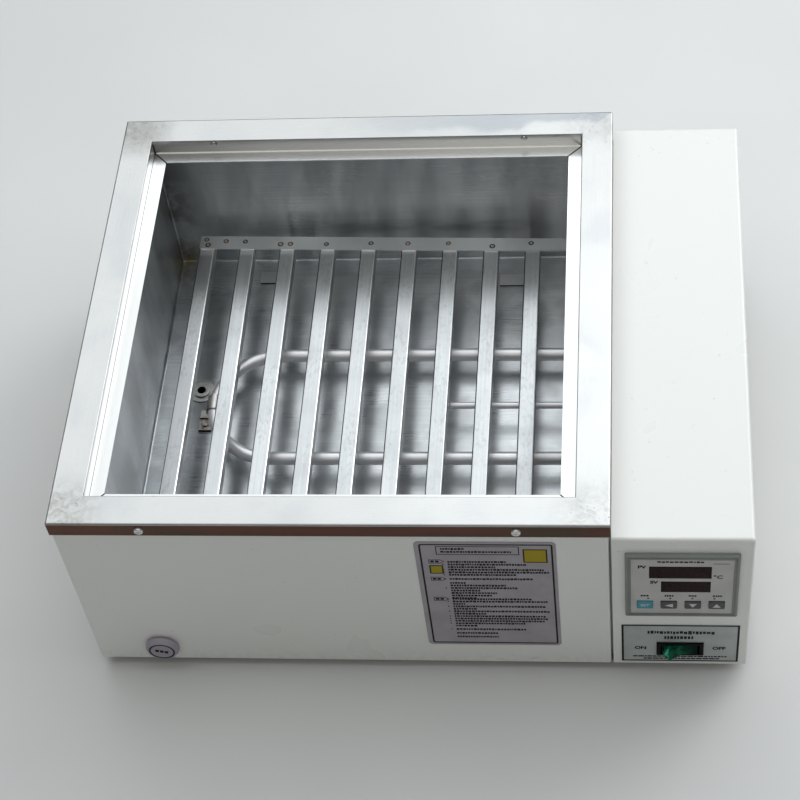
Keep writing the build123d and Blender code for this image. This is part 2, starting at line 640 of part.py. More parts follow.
def controller_bezel():
    """Square frame that stands proud of the box and holds the face."""
    x, z = controller_span()
    bezel = block(x, (FRONT - CONTROLLER_PROUD, FRONT), z)
    bezel = fillet(bezel.edges().filter_by(Axis.Y), 1.2)
    bezel = fillet(bezel.faces().sort_by(Axis.Y)[0].edges(), 0.8)
    fx, fz = face_span()
    bezel -= block(fx, (-10, FACE_FRONT + 1.5), fz)
    inner = (BOX_MIDDLE - 30, BOX_MIDDLE + 30)
    bezel -= block(inner, (-10, 10), (CONTROLLER_MIDDLE - 30, CONTROLLER_MIDDLE + 29))
    y = (FRONT - CONTROLLER_PROUD - 1, FRONT - CONTROLLER_PROUD + BEZEL_GROOVE)
    middle = (BOX_MIDDLE, CONTROLLER_MIDDLE)
    half = CONTROLLER_WIDTH / 2 - 1.9
    groove = centred(middle, (half, half), y)
    half -= BEZEL_GROOVE
    groove -= centred(middle, (half, half), y)
    return bezel - groove


def controller_face():
    """Face plate with openings for the displays, lamps and keys."""
    fx, fz = face_span(0.1)
    face = block(fx, (FACE_FRONT, FACE_FRONT + 1.5), fz)
    for x, z in WINDOWS.values():
        face -= block(x, (-10, 10), z)
    for x in KEY_XS:
        half = (KEY_WIDTH / 2 + KEY_GAP, KEY_HEIGHT / 2 + KEY_GAP)
        face -= centred((x, KEY_LEVEL), half, (-10, 10))
    for x in LAMP_XS:
        face -= rod("y", (x, LAMP_LEVEL), 0.75, (-10, 10))
    return face


def display_window(name):
    x, z = WINDOWS[name]
    gap = 0.05
    return block((x[0] + gap, x[1] - gap), (FACE_FRONT + 0.15, FACE_FRONT + 1.5), (z[0] + gap, z[1] - gap))


def indicator_lamps():
    return group([rod("y", (x, LAMP_LEVEL), 0.7, (FACE_FRONT - 0.1, FACE_FRONT + 3.0)) for x in LAMP_XS])


def key(index):
    """A key cap with a rounded front and a collar that keeps it behind the face."""
    x = KEY_XS[index]
    half = (KEY_WIDTH / 2, KEY_HEIGHT / 2)
    wide = (half[0] + KEY_COLLAR, half[1] + KEY_COLLAR)
    cap = centred((x, KEY_LEVEL), half, (FACE_FRONT - 0.9, FACE_FRONT + 2.2))
    cap = fillet(cap.edges().filter_by(Axis.Y), 0.8)
    cap = fillet(cap.faces().sort_by(Axis.Y)[0].edges(), 0.5)
    return cap + centred((x, KEY_LEVEL), wide, (FACE_FRONT + 1.6, FACE_FRONT + 2.2))


def controller_housing():
    """Plastic case of the controller, open at the front behind the bezel."""
    middle = (BOX_MIDDLE, CONTROLLER_MIDDLE)
    inner = HOUSING_HALF - 2.0
    case = centred(middle, (HOUSING_HALF, HOUSING_HALF), (FRONT + 0.05, FRONT + HOUSING_DEPTH))
    case = fillet(case.edges().filter_by(Axis.Y), 1.5)
    return case - centred(middle, (inner, inner), (-5, FRONT + HOUSING_DEPTH - 2.0))


def controller_board():
    """Front circuit board with the key switches and the display blocks, and a board behind it."""
    middle = (BOX_MIDDLE, CONTROLLER_MIDDLE)
    front = FACE_FRONT + 5.3
    board = centred(middle, (28, 28), (front, front + 1.6))
    for x in KEY_XS:
        board += centred((x, KEY_LEVEL), (3, 3), (front - 2.0, front))
    for x, z in WINDOWS.values():
        board += block((x[0] + 2, x[1] - 2), (FACE_FRONT + 1.6, front), (z[0] + 1, z[1] - 1))
    return board + centred(middle, (28, 0.8), (front + 1.6, FRONT + 80))


def controller_clamp():
    """Frame that slides on the housing from behind and grips the box's front wall."""
    middle = (BOX_MIDDLE, CONTROLLER_MIDDLE)
    inner = HOUSING_HALF + 0.05
    clamp = centred(middle, (36.5, 36.5), (FRONT + SHEET, FRONT + SHEET + 14))
    return clamp - centred(middle, (inner, inner), (-5, 50))


def controller_terminals():
    """Screw terminal strip on the back of the controller."""
    back = FRONT + HOUSING_DEPTH
    strip = centred((BOX_MIDDLE, CONTROLLER_MIDDLE), (28, 12), (back, back + 9))
    for i in range(6):
        strip -= rod("y", (BOX_MIDDLE - 22.5 + 9 * i, CONTROLLER_MIDDLE), 2.5, (back + 6, back + 10))
    return strip


# ---------------------------------------------------------------- rocker switch
def switch_body():
    """Snap-in switch body: bezel, housing and the well that the rocker tilts in."""
    middle = (BOX_MIDDLE, SWITCH_LEVEL)
    body = centred(middle, (SWITCH_WIDTH / 2, SWITCH_HEIGHT / 2), (FRONT - SWITCH_PROUD, FRONT - 0.4))
    body = fillet(body.faces().sort_by(Axis.Y)[0].edges(), 0.5)
    body += centred(middle, (SWITCH_HOLE[0] - 0.2, SWITCH_HOLE[1] - 0.2), (FRONT - 0.4, FRONT + 22))
    body -= centred(middle, (ROCKER_RADIUS + 0.3, ROCKER_HEIGHT / 2 + 0.2), (-10, FRONT + 12))
    pins = (SWITCH_LEVEL - SWITCH_HOLE[1] - 1, SWITCH_LEVEL + SWITCH_HOLE[1] + 1)
    return body - rod("z", (BOX_MIDDLE, PIVOT_Y), ROCKER_PIN + 0.05, pins)


def rocker():
    """Concave rocker: round ends about the pivot, and two flat facets that meet in a shallow V."""
    floor = (PIVOT_Y - FRONT + SWITCH_PROUD) / math.cos(math.radians(ROCKER_TILT))
    rise = 20 * math.tan(math.radians(ROCKER_TILT))
    shape = Cylinder(ROCKER_RADIUS, ROCKER_HEIGHT)
    cut = Polygon((-20, -floor - rise), (0, -floor), (20, -floor - rise), (20, -40), (-20, -40), align=None)
    shape -= extrude(cut, 20, both=True)
    shape -= Pos(0, 24.0, 0) * Box(60, 40, 40)
    tips = shape.edges().filter_by(Axis.Z).sort_by(Axis.Y)[:2]
    shape = fillet(tips, 0.6)
    shape += Cylinder(ROCKER_PIN, ROCKER_HEIGHT + 1.2)
    return Pos(BOX_MIDDLE, PIVOT_Y, SWITCH_LEVEL) * Rot(0, 0, ROCKER_TILT) * shape


def switch_terminals():
    blades = []
    for x in (-8.0, 0.0, 8.0):
        centre = BOX_MIDDLE + x
        blades.append(block((centre - 2.4, centre + 2.4), (FRONT + 22, FRONT + 31),
                            (SWITCH_LEVEL - 0.4, SWITCH_LEVEL + 0.4)))
    return group(blades)


# ---------------------------------------------------------------- electrics
def relay():
    """Solid-state relay: a metal-backed block with two sunk rows of terminals."""
    x, y, z = RELAY
    body = block(x, y, z)
    body = fillet(upright_edges(body), 2.0)
    for span in ((y[0] - 1, y[0] + 10), (y[1] - 10, y[1] + 1)):
        body -= block((x[0] + 6, x[1] - 6), span, (z[1] - 9, z[1] + 1))
    middle = (x[0] + x[1]) / 2
    for end in (y[0] + 4, y[1] - 4):
        body -= rod("z", (middle, end), 2.2, (-1, 30))
    return body


def relay_screws():
    x, y, z = RELAY
    middle = (x[0] + x[1]) / 2
    screws = []
    for end in (y[0] + 4, y[1] - 4):
        screw = rod("z", (middle, end), 2.0, (BASE_TOP, z[1] - 9))
        screws.append(screw + rod("z", (middle, end), 3.6, (z[1] - 9, z[1] - 6.6)))
    return group(screws)


def terminal_block():
    x, y, z = TERMINAL_BLOCK
    body = block(x, y, z)
    for i in range(4):
        centre = x[0] + 6 + 12 * i
        body -= block((centre - 4.2, centre + 4.2), (y[0] - 1, y[0] + 5), (z[1] - 7, z[1] + 1))
        body -= block((centre - 4.2, centre + 4.2), (y[1] - 5, y[1] + 1), (z[1] - 7, z[1] + 1))
    return body


def mains_inlet():
    """Panel inlet for a mains connector: flange, shroud and a six-sided socket."""
    flange = block((BOX_MIDDLE - 25, BOX_MIDDLE + 25), (BACK, BACK + 3.0), (INLET_Z - 12, INLET_Z + 12))
    flange = fillet(flange.edges().filter_by(Axis.Y), 5.0)
    flange = fillet(flange.faces().sort_by(Axis.Y)[-1].edges(), 0.8)
    shroud = block((BOX_MIDDLE - 13.7, BOX_MIDDLE + 13.7), (BACK - 18, BACK), (INLET_Z - 9.9, INLET_Z + 9.9))
    socket = block((BOX_MIDDLE - 12, BOX_MIDDLE + 12), (BACK - 13, BACK + 10), (INLET_Z - 8, INLET_Z + 8))
    socket = chamfer(socket.edges().filter_by(Axis.Y).group_by(Axis.Z)[-1], 4.0)
    inlet = flange + shroud - socket
    for x in (BOX_MIDDLE - 20, BOX_MIDDLE + 20):
        inlet -= rod("y", (x, INLET_Z), 1.6, (BACK - 1, BACK + 5))
    return inlet


def inlet_pins():
    pins = []
    for x, z in ((-7, -1.5), (0, 2.5), (7, -1.5)):
        centre = BOX_MIDDLE + x
        pin = block((centre - 1, centre + 1), (BACK - 13, BACK - 1), (INLET_Z + z - 2, INLET_Z + z + 2))
        tag_z = (INLET_Z + z - 2.4, INLET_Z + z + 2.4)
        tag = block((centre - 0.4, centre + 0.4), (BACK - 26, BACK - 18), tag_z)
        pins.append(pin)
        pins.append(tag)
    return group(pins)


def inlet_screws():
    places = (BOX_MIDDLE - 20, BOX_MIDDLE + 20)
    return group([screw_head(x, BACK + 3.0, INLET_Z, 1, 2.7, 1.2) for x in places])


def earth_stud():
    """Threaded stud with a nut on the base plate."""
    place = (BOX_LEFT + 24, BACK - 24)
    stud = rod("z", place, 2.0, (BASE_TOP, 13))
    return stud + hexagon("z", place, 7.0, (4, 7))


def heater_leads():
    """Two leads from the heater's terminals down to the terminal block."""
    x = BOX_LEFT + 6.0 + 19
    top = TERMINAL_BLOCK[2][1] - 3
    leads = []
    for y, side, drop in ((HEATER_BACK, TERMINAL_BLOCK[1][1], 1), (HEATER_FRONT, TERMINAL_BLOCK[1][1], 0)):
        target = TERMINAL_BLOCK[0][0] + 6 + 12 * drop
        leads.append(lead([
            (x - 2, y, HEATER_LEVEL), (x + 8 + 6 * drop, y, HEATER_LEVEL), (x + 8 + 6 * drop, y, 30),
            (target, side + 9, top - 0.5 + 8 * drop), (target, side - 3, top)], 1.3, 4.0))
    return group(leads)


def probe_lead():
    """Screened lead from the probe up to the controller's terminals."""
    start = BOX_LEFT + 8.0
    middle = CONTROLLER_MIDDLE
    return lead([
        (start, HEATER_MIDDLE, HEATER_LEVEL), (start + 14, HEATER_MIDDLE, HEATER_LEVEL),
        (start + 14, HEATER_MIDDLE, middle), (BOX_MIDDLE - 22.5, FRONT + 118, middle),
        (BOX_MIDDLE - 22.5, FRONT + 96.2, middle)], 1.5, 8.0)


def mains_leads():
    """Leads from the inlet to the relay, and from the relay forward to the switch."""
    x, y, z = RELAY
    level = z[1] - 5
    pair = []
    for side in (-7, 7):
        start = BOX_MIDDLE + side
        pair.append(lead([
            (start, BACK - 26.2, INLET_Z - 1.5), (start, BACK - 31, INLET_Z - 1.5),
            (start + 5, y[1] - 3, level + 2), (start + 5, y[1] - 8, level + 2)], 1.3, 1.8))
    for side in (-8, 8):
        start = BOX_MIDDLE + side
        pair.append(lead([
            (start, FRONT + 31.2, SWITCH_LEVEL), (start, FRONT + 60, SWITCH_LEVEL),
            (start, FRONT + 75, 32.0), (start, 235.0, 32.0),
            (start, 250.0, level + 3), (start, y[0] + 3, level + 3)], 1.3, 5.0))
    return group(pair)


# ---------------------------------------------------------------- all pieces
def build():
    nodes = {
        "outer_casing": outer_casing(),
        "base_plate": base_plate(),
        "base_screws": base_screws(),
        "feet": feet(),
        "foot_screws": foot_screws(),
        "insulation_walls": insulation_walls(),
        "insulation_floor": insulation_floor(),
        "inner_tank": inner_tank(),
        "rim_frame": rim_frame(),
        "rim_screws": rim_screws(),
        "rim_rivets": rim_rivets(),
        "rack_slats": rack_slats(),
        "rack_bars": rack_bars(),
        "rack_legs": rack_legs(),
        "heater_element": heater_element(),
        "heater_nuts": heater_nuts(),
        "heater_seals": heater_seals(),
        "heater_clip": heater_clip(),
        "clip_rivet": clip_rivet(),
        "temperature_probe": temperature_probe(),
        "probe_gland": probe_gland(),
        "drain_fitting": drain_fitting(),
        "drain_seal": drain_seal(),
        "drain_nut": drain_nut(),
        "drain_hose": drain_hose(),
        "drain_outlet": drain_outlet(),
        "outlet_nut": outlet_nut(),
        "drain_plug": drain_plug(),
        "control_box_cover": control_box_cover(),
        "cover_screws": cover_screws(),
        "partition_plate": partition_plate(),
        "nameplate": nameplate(),
        "front_label": front_label(),
        "controller_bezel": controller_bezel(),
        "controller_face": controller_face(),
        "pv_window": display_window("pv_window"),
        "sv_window": display_window("sv_window"),
        "indicator_lamps": indicator_lamps(),
        "key_set": key(0),
        "key_shift": key(1),
        "key_down": key(2),
        "key_up": key(3),
        "controller_housing": controller_housing(),
        "controller_board": controller_board(),
        "controller_clamp": controller_clamp(),
        "controller_terminals": controller_terminals(),
        "switch_body": switch_body(),
        "rocker": rocker(),
        "switch_terminals": switch_terminals(),
        "relay": relay(),
        "relay_screws": relay_screws(),
        "terminal_block": terminal_block(),
        "mains_inlet": mains_inlet(),
        "inlet_pins": inlet_pins(),
        "inlet_screws": inlet_screws(),
        "earth_stud": earth_stud(),
        "heater_leads": heater_leads(),
        "probe_lead": probe_lead(),
        "mains_leads": mains_leads(),
    }
    return nodes


def home(nodes):
    """The move that brings the middle of the object's underside to the origin."""
    boxes = [shape.bounding_box() for shape in nodes.values()]
    low = [min(getattr(box.min, axis) for box in boxes) for axis in "XYZ"]
    high = [max(getattr(box.max, axis) for box in boxes) for axis in "XYZ"]
    return Vector(-(low[0] + high[0]) / 2, -(low[1] + high[1]) / 2, -low[2])


NODES = build()
HOME = home(NODES)


def main():
    os.makedirs("parts", exist_ok=True)
    for name, shape in NODES.items():
        export_step(Pos(*HOME) * shape, f"parts/{name}.step")


if __name__ == "__main__":
    main()
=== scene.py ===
"""Looks of the bench-top water bath: materials, printed details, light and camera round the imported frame.

Positions are worked out from the frame. "Bench" coordinates are millimetres from the front left bottom
corner of the bath (X right, Y back, Z up, Z = 0 at the casing's bottom edge).
"""

import json
import math
import random

import bmesh
import bpy
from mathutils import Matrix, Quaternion, Vector


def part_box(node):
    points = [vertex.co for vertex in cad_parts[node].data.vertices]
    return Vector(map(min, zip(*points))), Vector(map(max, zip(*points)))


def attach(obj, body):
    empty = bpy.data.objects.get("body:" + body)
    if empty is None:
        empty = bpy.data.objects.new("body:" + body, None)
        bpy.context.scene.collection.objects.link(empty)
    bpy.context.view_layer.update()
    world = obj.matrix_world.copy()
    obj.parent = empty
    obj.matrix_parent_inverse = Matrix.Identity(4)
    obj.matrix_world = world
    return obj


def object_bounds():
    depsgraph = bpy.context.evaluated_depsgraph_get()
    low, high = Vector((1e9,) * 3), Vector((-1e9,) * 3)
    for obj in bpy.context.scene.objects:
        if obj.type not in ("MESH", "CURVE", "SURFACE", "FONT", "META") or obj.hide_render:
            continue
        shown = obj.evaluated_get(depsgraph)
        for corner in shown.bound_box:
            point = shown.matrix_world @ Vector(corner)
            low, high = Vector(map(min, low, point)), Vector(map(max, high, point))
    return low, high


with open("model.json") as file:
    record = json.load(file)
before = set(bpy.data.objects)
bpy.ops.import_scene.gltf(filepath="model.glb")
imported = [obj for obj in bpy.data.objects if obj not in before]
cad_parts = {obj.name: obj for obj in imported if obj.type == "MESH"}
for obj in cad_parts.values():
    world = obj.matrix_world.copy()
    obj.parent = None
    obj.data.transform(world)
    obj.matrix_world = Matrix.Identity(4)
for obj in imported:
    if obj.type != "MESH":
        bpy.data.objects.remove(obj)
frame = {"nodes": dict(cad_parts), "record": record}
cad_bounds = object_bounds()

MM = 0.001
RIM_LOW, RIM_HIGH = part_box("rim_frame")
ORIGIN = Vector((RIM_LOW.x, RIM_LOW.y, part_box("outer_casing")[0].z))
RIM_WIDTH = 21.7
LEDGE_DROP = 12.2
RIVET_HEAD = 1.8
DRAIN_BORE = 3.22
SLATS = 10
SLAT_WIDTH = 11.6
RACK_SKEW = 1.45
INK_THICKNESS = 0.06
TANK_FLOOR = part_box("clip_rivet")[0].z - MM
BATH_SIZE = (RIM_HIGH.x - RIM_LOW.x) / MM


def bench(x, y, z):
    """A point of the frame, in metres, from bench millimetres."""
    return ORIGIN + Vector((x, y, z)) * MM


def span(node):
    """A CAD node's lowest and highest corner in bench millimetres."""
    low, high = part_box(node)
    return (low - ORIGIN) / MM, (high - ORIGIN) / MM


# ---------------------------------------------------------------- node material builder
class Look:
    """One Principled material, and short calls that add the nodes of its pattern."""

    def __init__(self, name, color, rough, metal=0.0, **sockets):
        self.material = bpy.data.materials.new(name)
        self.material.use_nodes = True
        self.tree = self.material.node_tree
        self.shader = self.tree.nodes["Principled BSDF"]
        self.place = self.add("ShaderNodeTexCoord").outputs["Object"]
        self.material.diffuse_color = (*color, 1.0)
        self.set("Base Color", (*color, 1.0))
        self.set("Roughness", rough)
        self.set("Metallic", metal)
        for socket, value in sockets.items():
            self.set(socket.replace("_", " "), value)

    def add(self, kind, **values):
        node = self.tree.nodes.new(kind)
        for key, value in values.items():
            setattr(node, key, value)
        return node

    def feed(self, socket, value):
        """Sets a socket, or links it when value is another node's output."""
        if isinstance(value, bpy.types.NodeSocket):
            self.tree.links.new(value, socket)
        else:
            socket.default_value = value

    def set(self, socket, value):
        self.feed(self.shader.inputs[socket], value)

    def axis(self, index):
        """The object coordinate along X, Y or Z, in metres."""
        split = self.add("ShaderNodeSeparateXYZ")
        self.feed(split.inputs[0], self.place)
        return split.outputs[index]

    def noise(self, scale, detail=2.0, rough=0.5, stretch=(1, 1, 1), warp=0.0, shift=0.0):
        """Noise with scale features per metre, times stretch along each axis."""
        mapping = self.add("ShaderNodeMapping")
        self.feed(mapping.inputs["Vector"], self.place)
        mapping.inputs["Scale"].default_value = [scale * s for s in stretch]
        mapping.inputs["Location"].default_value = [shift] * 3
        node = self.add("ShaderNodeTexNoise")
        self.feed(node.inputs["Vector"], mapping.outputs[0])
        node.inputs["Scale"].default_value = 1.0
        node.inputs["Detail"].default_value = detail
        node.inputs["Roughness"].default_value = rough
        node.inputs["Distortion"].default_value = warp
        return node.outputs["Fac"]

    def math(self, operation, a, b=0.0, clamp=False):
        node = self.add("ShaderNodeMath", operation=operation, use_clamp=clamp)
        self.feed(node.inputs[0], a)
        self.feed(node.inputs[1], b)
        return node.outputs[0]

    def remap(self, value, low, high, to_low=0.0, to_high=1.0):
        """A smooth step from to_low at low to to_high at high."""
        node = self.add("ShaderNodeMapRange", interpolation_type="SMOOTHSTEP")
        for socket, number in zip(node.inputs, (value, low, high, to_low, to_high)):
            self.feed(socket, number)
        return node.outputs[0]

    def mix(self, share, a, b):
        """Colour a where share is 0, and b where it is 1."""
        node = self.add("ShaderNodeMix", data_type="RGBA")
        self.feed(node.inputs["Factor"], share)
        for socket, value in ((node.inputs[6], a), (node.inputs[7], b)):
            self.feed(socket, (*value, 1.0) if isinstance(value, tuple) else value)
        return node.outputs[2]

    def base(self):
        """The output that the base colour is linked to so far."""
        return self.shader.inputs["Base Color"].links[0].from_socket

    def rest_of(self, mask):
        """1 where a mask is 0, and 0 where it is 1."""
        return self.math("SUBTRACT", 1.0, mask)

    def near(self, index, at, reach):
        """1 on the plane where a coordinate is at (in metres), falling to 0 at reach from it."""
        away = self.math("ABSOLUTE", self.math("SUBTRACT", self.axis(index), at))
        return self.remap(away, 0.0, reach, 1.0, 0.0)

    def product(self, *factors):
        """Outputs and plain numbers multiplied together, starting from an output."""
        total = factors[0]
        for factor in factors[1:]:
            total = self.math("MULTIPLY", total, factor)
        return total

    def within(self, centre, radius, soft, plane=(0, 1)):
        """1 less than radius from centre in the plane of two axes, falling to 0 over soft beyond that."""
        offsets = [self.math("SUBTRACT", self.axis(i), centre[i]) for i in plane]
        squares = [self.math("POWER", offset, 2.0) for offset in offsets]
        away = self.math("SQRT", self.math("ADD", *squares))
        return self.remap(away, radius, radius + soft, 1.0, 0.0)

    def facing(self, index, sign, low=0.6, high=0.9):
        """1 where the surface looks along an axis: its normal's share of that axis rises from low to high."""
        split = self.add("ShaderNodeSeparateXYZ")
        self.feed(split.inputs[0], self.add("ShaderNodeNewGeometry").outputs["Normal"])
        return self.remap(self.product(split.outputs[index], sign), low, high)

    def smear(self, direction, amount):
        """Stretches reflections along a direction, as brushing across it does."""
        node = self.add("ShaderNodeCombineXYZ")
        for socket, value in zip(node.inputs, direction):
            socket.default_value = value
        self.set("Tangent", node.outputs[0])
        self.set("Anisotropic", amount)

    def bump(self, height, depth):
        """Relief from a 0 to 1 height, depth metres deep."""
        node = self.add("ShaderNodeBump")
        node.inputs["Distance"].default_value = depth
        self.feed(node.inputs["Height"], height)
        if self.shader.inputs["Normal"].is_linked:
            self.feed(node.inputs["Normal"], self.shader.inputs["Normal"].links[0].from_socket)
        self.set("Normal", node.outputs[0])


ALONG_X = (0.012, 1.0, 1.0)
ALONG_Y = (1.0, 0.012, 1.0)
EVEN = (1, 1, 1)
RIM_BRIGHT = (0.50, 0.50, 0.493)
CORNER_INSIDE = 0.022
CORNER_OUTSIDE = 0.008
MEMBER_BLEND = 0.0006
MITRE_WIDTH = 0.0011
FOLD_WIDTH = 0.0006
FOLD_HEIGHT = 0.0012
WALL_REACH = 0.0012
RIVET_RING = 1.2


def brushed(name, color, rough, grain, depth=0.00001, contrast=0.12, metal=1.0):
    """Brushed steel: long scratches along one axis, faint clouds and a roughness that wanders."""
    look = Look(name, color, rough, metal)
    fine = look.noise(2600, 3.0, 0.6, grain)
    coarse = look.noise(620, 2.0, 0.5, grain, shift=7.0)
    cloud = look.noise(22, 3.0, 0.55, warp=0.4)
    streaks = look.product(fine, coarse)
    shade = tuple(c * (1.0 - contrast) for c in color)
    brushing_and_highlight = look.mix(look.remap(streaks, 0.12, 0.42), shade, color)
    look.set("Base Color", look.mix(look.remap(cloud, 0.35, 0.75, 0.0, 0.45), brushing_and_highlight, shade))
    uneven = look.math("ADD", look.remap(cloud, 0.3, 0.7, -0.05, 0.05),
                       look.remap(fine, 0.3, 0.7, -0.04, 0.05))
    look.set("Roughness", look.math("ADD", uneven, rough, clamp=True))
    look.bump(streaks, depth)
    return look


def moulded(name, color, rough, grain=900, depth=0.00003, **sockets):
    """Moulded plastic or rubber: a fine spark-eroded grain and slightly uneven gloss."""
    look = Look(name, color, rough, 0.0, **sockets)
    pits = look.noise(grain, 3.0, 0.6)
    cloud = look.noise(45, 2.0, 0.5)
    shade = tuple(c * 0.88 for c in color)
    look.set("Base Color", look.mix(look.remap(cloud, 0.3, 0.7), shade, color))
    look.set("Roughness", look.remap(pits, 0.3, 0.7, rough - 0.06, rough + 0.08))
    look.bump(pits, depth)
    return look


# ---------------------------------------------------------------- materials of the bath
def paint():
    """Baked satin enamel on the casing and the control box."""
    color = (0.845, 0.850, 0.820)
    look = Look("paint", color, 0.3, 0.0, Coat_Weight=0.2, Coat_Roughness=0.15, Specular_IOR_Level=0.5)
    peel = look.noise(420, 2.0, 0.5)
    cloud = look.noise(9, 3.0, 0.5, warp=0.5)
    patch_noise = look.noise(160, 4.0, 0.65, shift=3.0)
    height = look.axis(2)
    low = look.remap(height, ORIGIN.z, ORIGIN.z + 0.016, 1.0, 0.0)
    tint = look.mix(look.remap(cloud, 0.35, 0.7), (0.830, 0.836, 0.804), color)
    # Patchy darkening towards the casing's bottom edge.
    darker_low_patches = look.product(low, look.remap(patch_noise, 0.42, 0.7), 0.22)
    tint = look.mix(darker_low_patches, tint, (0.46, 0.44, 0.40))
    specks = look.product(look.remap(look.noise(310, 1.0, shift=11.0), 0.76, 0.80), 0.3)
    look.set("Base Color", look.mix(specks, tint, (0.40, 0.39, 0.36)))
    look.set("Roughness", look.remap(cloud, 0.3, 0.7, 0.27, 0.37))
    look.bump(peel, 0.000035)
    return look


class RimZones:
    """Masks of the rim's regions, shared by the colours painted on it."""

    def __init__(self, look):
        self.middle = (RIM_LOW + RIM_HIGH) / 2
        self.half = BATH_SIZE * MM / 2
        self.inner = self.half - RIM_WIDTH * MM
        self.ledge_level = RIM_HIGH.z - LEDGE_DROP * MM
        across = look.math("ABSOLUTE", look.math("SUBTRACT", look.axis(0), self.middle.x))
        along = look.math("ABSOLUTE", look.math("SUBTRACT", look.axis(1), self.middle.y))
        from_mitre = look.math("SUBTRACT", across, along)
        self.to_mitre = look.math("ABSOLUTE", from_mitre)
        self.side_member = look.remap(from_mitre, -MEMBER_BLEND, MEMBER_BLEND)
        self.cross_member = look.rest_of(self.side_member)
        self.reach = look.math("MAXIMUM", across, along)
        start, end = self.inner - CORNER_INSIDE, self.inner + CORNER_OUTSIDE
        self.corner = look.product(*(look.remap(distance, start, end)
                                     for distance in (across, along)))
        self.drop = look.remap(look.axis(2), RIM_HIGH.z - 0.004, RIM_HIGH.z - 0.0015, 1.0, 0.0)


def rim_top_tint(look, zones, grain, cloud, swirl, ground):
    """The flat top: bright grain, cloudy patches, greyer welded corners with painted shade making them greyer
    on the left, a painted reflection darkening the outer back member, and dark specks.
    """
    middle, half, inner, corner = zones.middle, zones.half, zones.inner, zones.corner
    seam = look.product(look.remap(zones.to_mitre, 0.0, MITRE_WIDTH, 1.0, 0.0), corner,
                        look.remap(swirl, 0.38, 0.6))
    tint = look.mix(look.remap(grain, 0.25, 0.7), (0.492, 0.493, 0.486), RIM_BRIGHT)
    tint = look.mix(look.remap(cloud, 0.4, 0.72, 0.0, 0.55), tint, (0.40, 0.41, 0.42))
    # Painted shade: the greyness of the ground corners is weighted towards the left, and the back left corner
    # is darker still.
    left = look.remap(look.axis(0), middle.x - half / 2, middle.x + half / 2, 1.0, 0.25)
    tint = look.mix(look.product(corner, left, 0.35), tint, (0.38, 0.38, 0.365))
    tint = look.mix(look.product(ground, left, 0.75), tint, (0.35, 0.345, 0.325))
    back_left = look.product(corner, look.remap(look.axis(1), middle.y, middle.y + inner - 0.02),
                             look.remap(look.axis(0), middle.x - inner, middle.x, 1.0, 0.0))
    tint = look.mix(look.product(back_left, 0.6), tint, (0.29, 0.29, 0.275))
    tint = look.mix(look.product(seam, 0.25), tint, (0.24, 0.23, 0.22))
    # Painted reflection: the outer part of the back member, from the middle rightwards, darkened as if it
    # reflected something dark.
    outer_side = look.math("ADD", look.axis(1), look.remap(cloud, 0.3, 0.7, -0.006, 0.006))
    shade = look.product(
        look.remap(outer_side, middle.y + inner + 0.006, middle.y + inner + 0.013),
        look.remap(look.axis(0), middle.x - 0.02, middle.x + 0.10), zones.cross_member, 0.8)
    tint = look.mix(shade, tint, (0.33, 0.35, 0.37))
    specks = look.product(look.remap(look.noise(520, 2.0, shift=5.0), 0.66, 0.72), corner)
    return look.mix(look.product(specks, 0.7), tint, (0.16, 0.14, 0.12))


def rim_inside_tint(look, zones, tint):
    """The drop wall and the ledge: a lighter ledge, painted highlights and painted shade on the drop walls
    and the back ledge, dark rivet rings, fold lines painted as highlights at the front and back and as shade
    at the sides, and mitre gaps.
    """
    middle, inner, drop = zones.middle, zones.inner, zones.drop
    from_edge = look.math("ABSOLUTE", look.math("SUBTRACT", zones.reach, inner))
    fold = look.product(look.remap(from_edge, 0.0, FOLD_WIDTH, 1.0, 0.0),
                        look.near(2, zones.ledge_level, FOLD_HEIGHT))
    mitre = look.product(look.remap(zones.to_mitre, 0.0003, MITRE_WIDTH, 1.0, 0.0), drop)
    ledge = look.product(look.near(2, zones.ledge_level, 0.0015), drop)
    tint = look.mix(ledge, tint, (0.60, 0.60, 0.59))
    # Painted highlight: the left drop wall lightened, as if it reflected bright light from the right.
    left_wall = look.product(look.near(0, RIM_LOW.x + RIM_WIDTH * MM, WALL_REACH), drop)
    tint = look.mix(look.product(left_wall, 0.9), tint, (0.92, 0.92, 0.91))
    # Painted highlight towards the right and painted shade towards the left of the back drop wall.
    back_wall = look.product(look.near(1, RIM_HIGH.y - RIM_WIDTH * MM, WALL_REACH), drop)
    rightwards = look.remap(look.axis(0), middle.x - 0.08, middle.x + 0.10)
    tint = look.mix(look.product(back_wall, rightwards, 0.9), tint, (0.70, 0.69, 0.67))
    leftwards = look.remap(look.axis(0), middle.x - inner, middle.x - 0.06, 1.0, 0.0)
    tint = look.mix(look.product(back_wall, leftwards, 0.7), tint, (0.20, 0.20, 0.185))
    # Painted highlight: the ledge at the back lightened.
    back_ledge = look.product(ledge, look.remap(look.axis(1), middle.y, middle.y + inner - 0.012))
    tint = look.mix(look.product(back_ledge, 0.8), tint, (0.86, 0.87, 0.88))
    low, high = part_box("rim_rivets")
    radius = RIVET_HEAD * MM
    for x in (low.x + radius, high.x - radius):
        centre = (x, 0.0, (low.z + high.z) / 2)
        ring = look.product(look.within(centre, radius * RIVET_RING, radius * 0.35, (0, 2)), drop)
        tint = look.mix(look.product(ring, 0.9), tint, (0.03, 0.028, 0.025))
    # Painted shade along the fold on the side members, and a painted highlight along it on the front and back
    # members.
    tint = look.mix(look.product(fold, zones.side_member, 0.75), tint, (0.09, 0.085, 0.08))
    tint = look.mix(look.product(fold, zones.cross_member), tint, (1.0, 0.97, 0.90))
    return look.mix(look.product(mitre, 0.95), tint, (0.012, 0.011, 0.010))


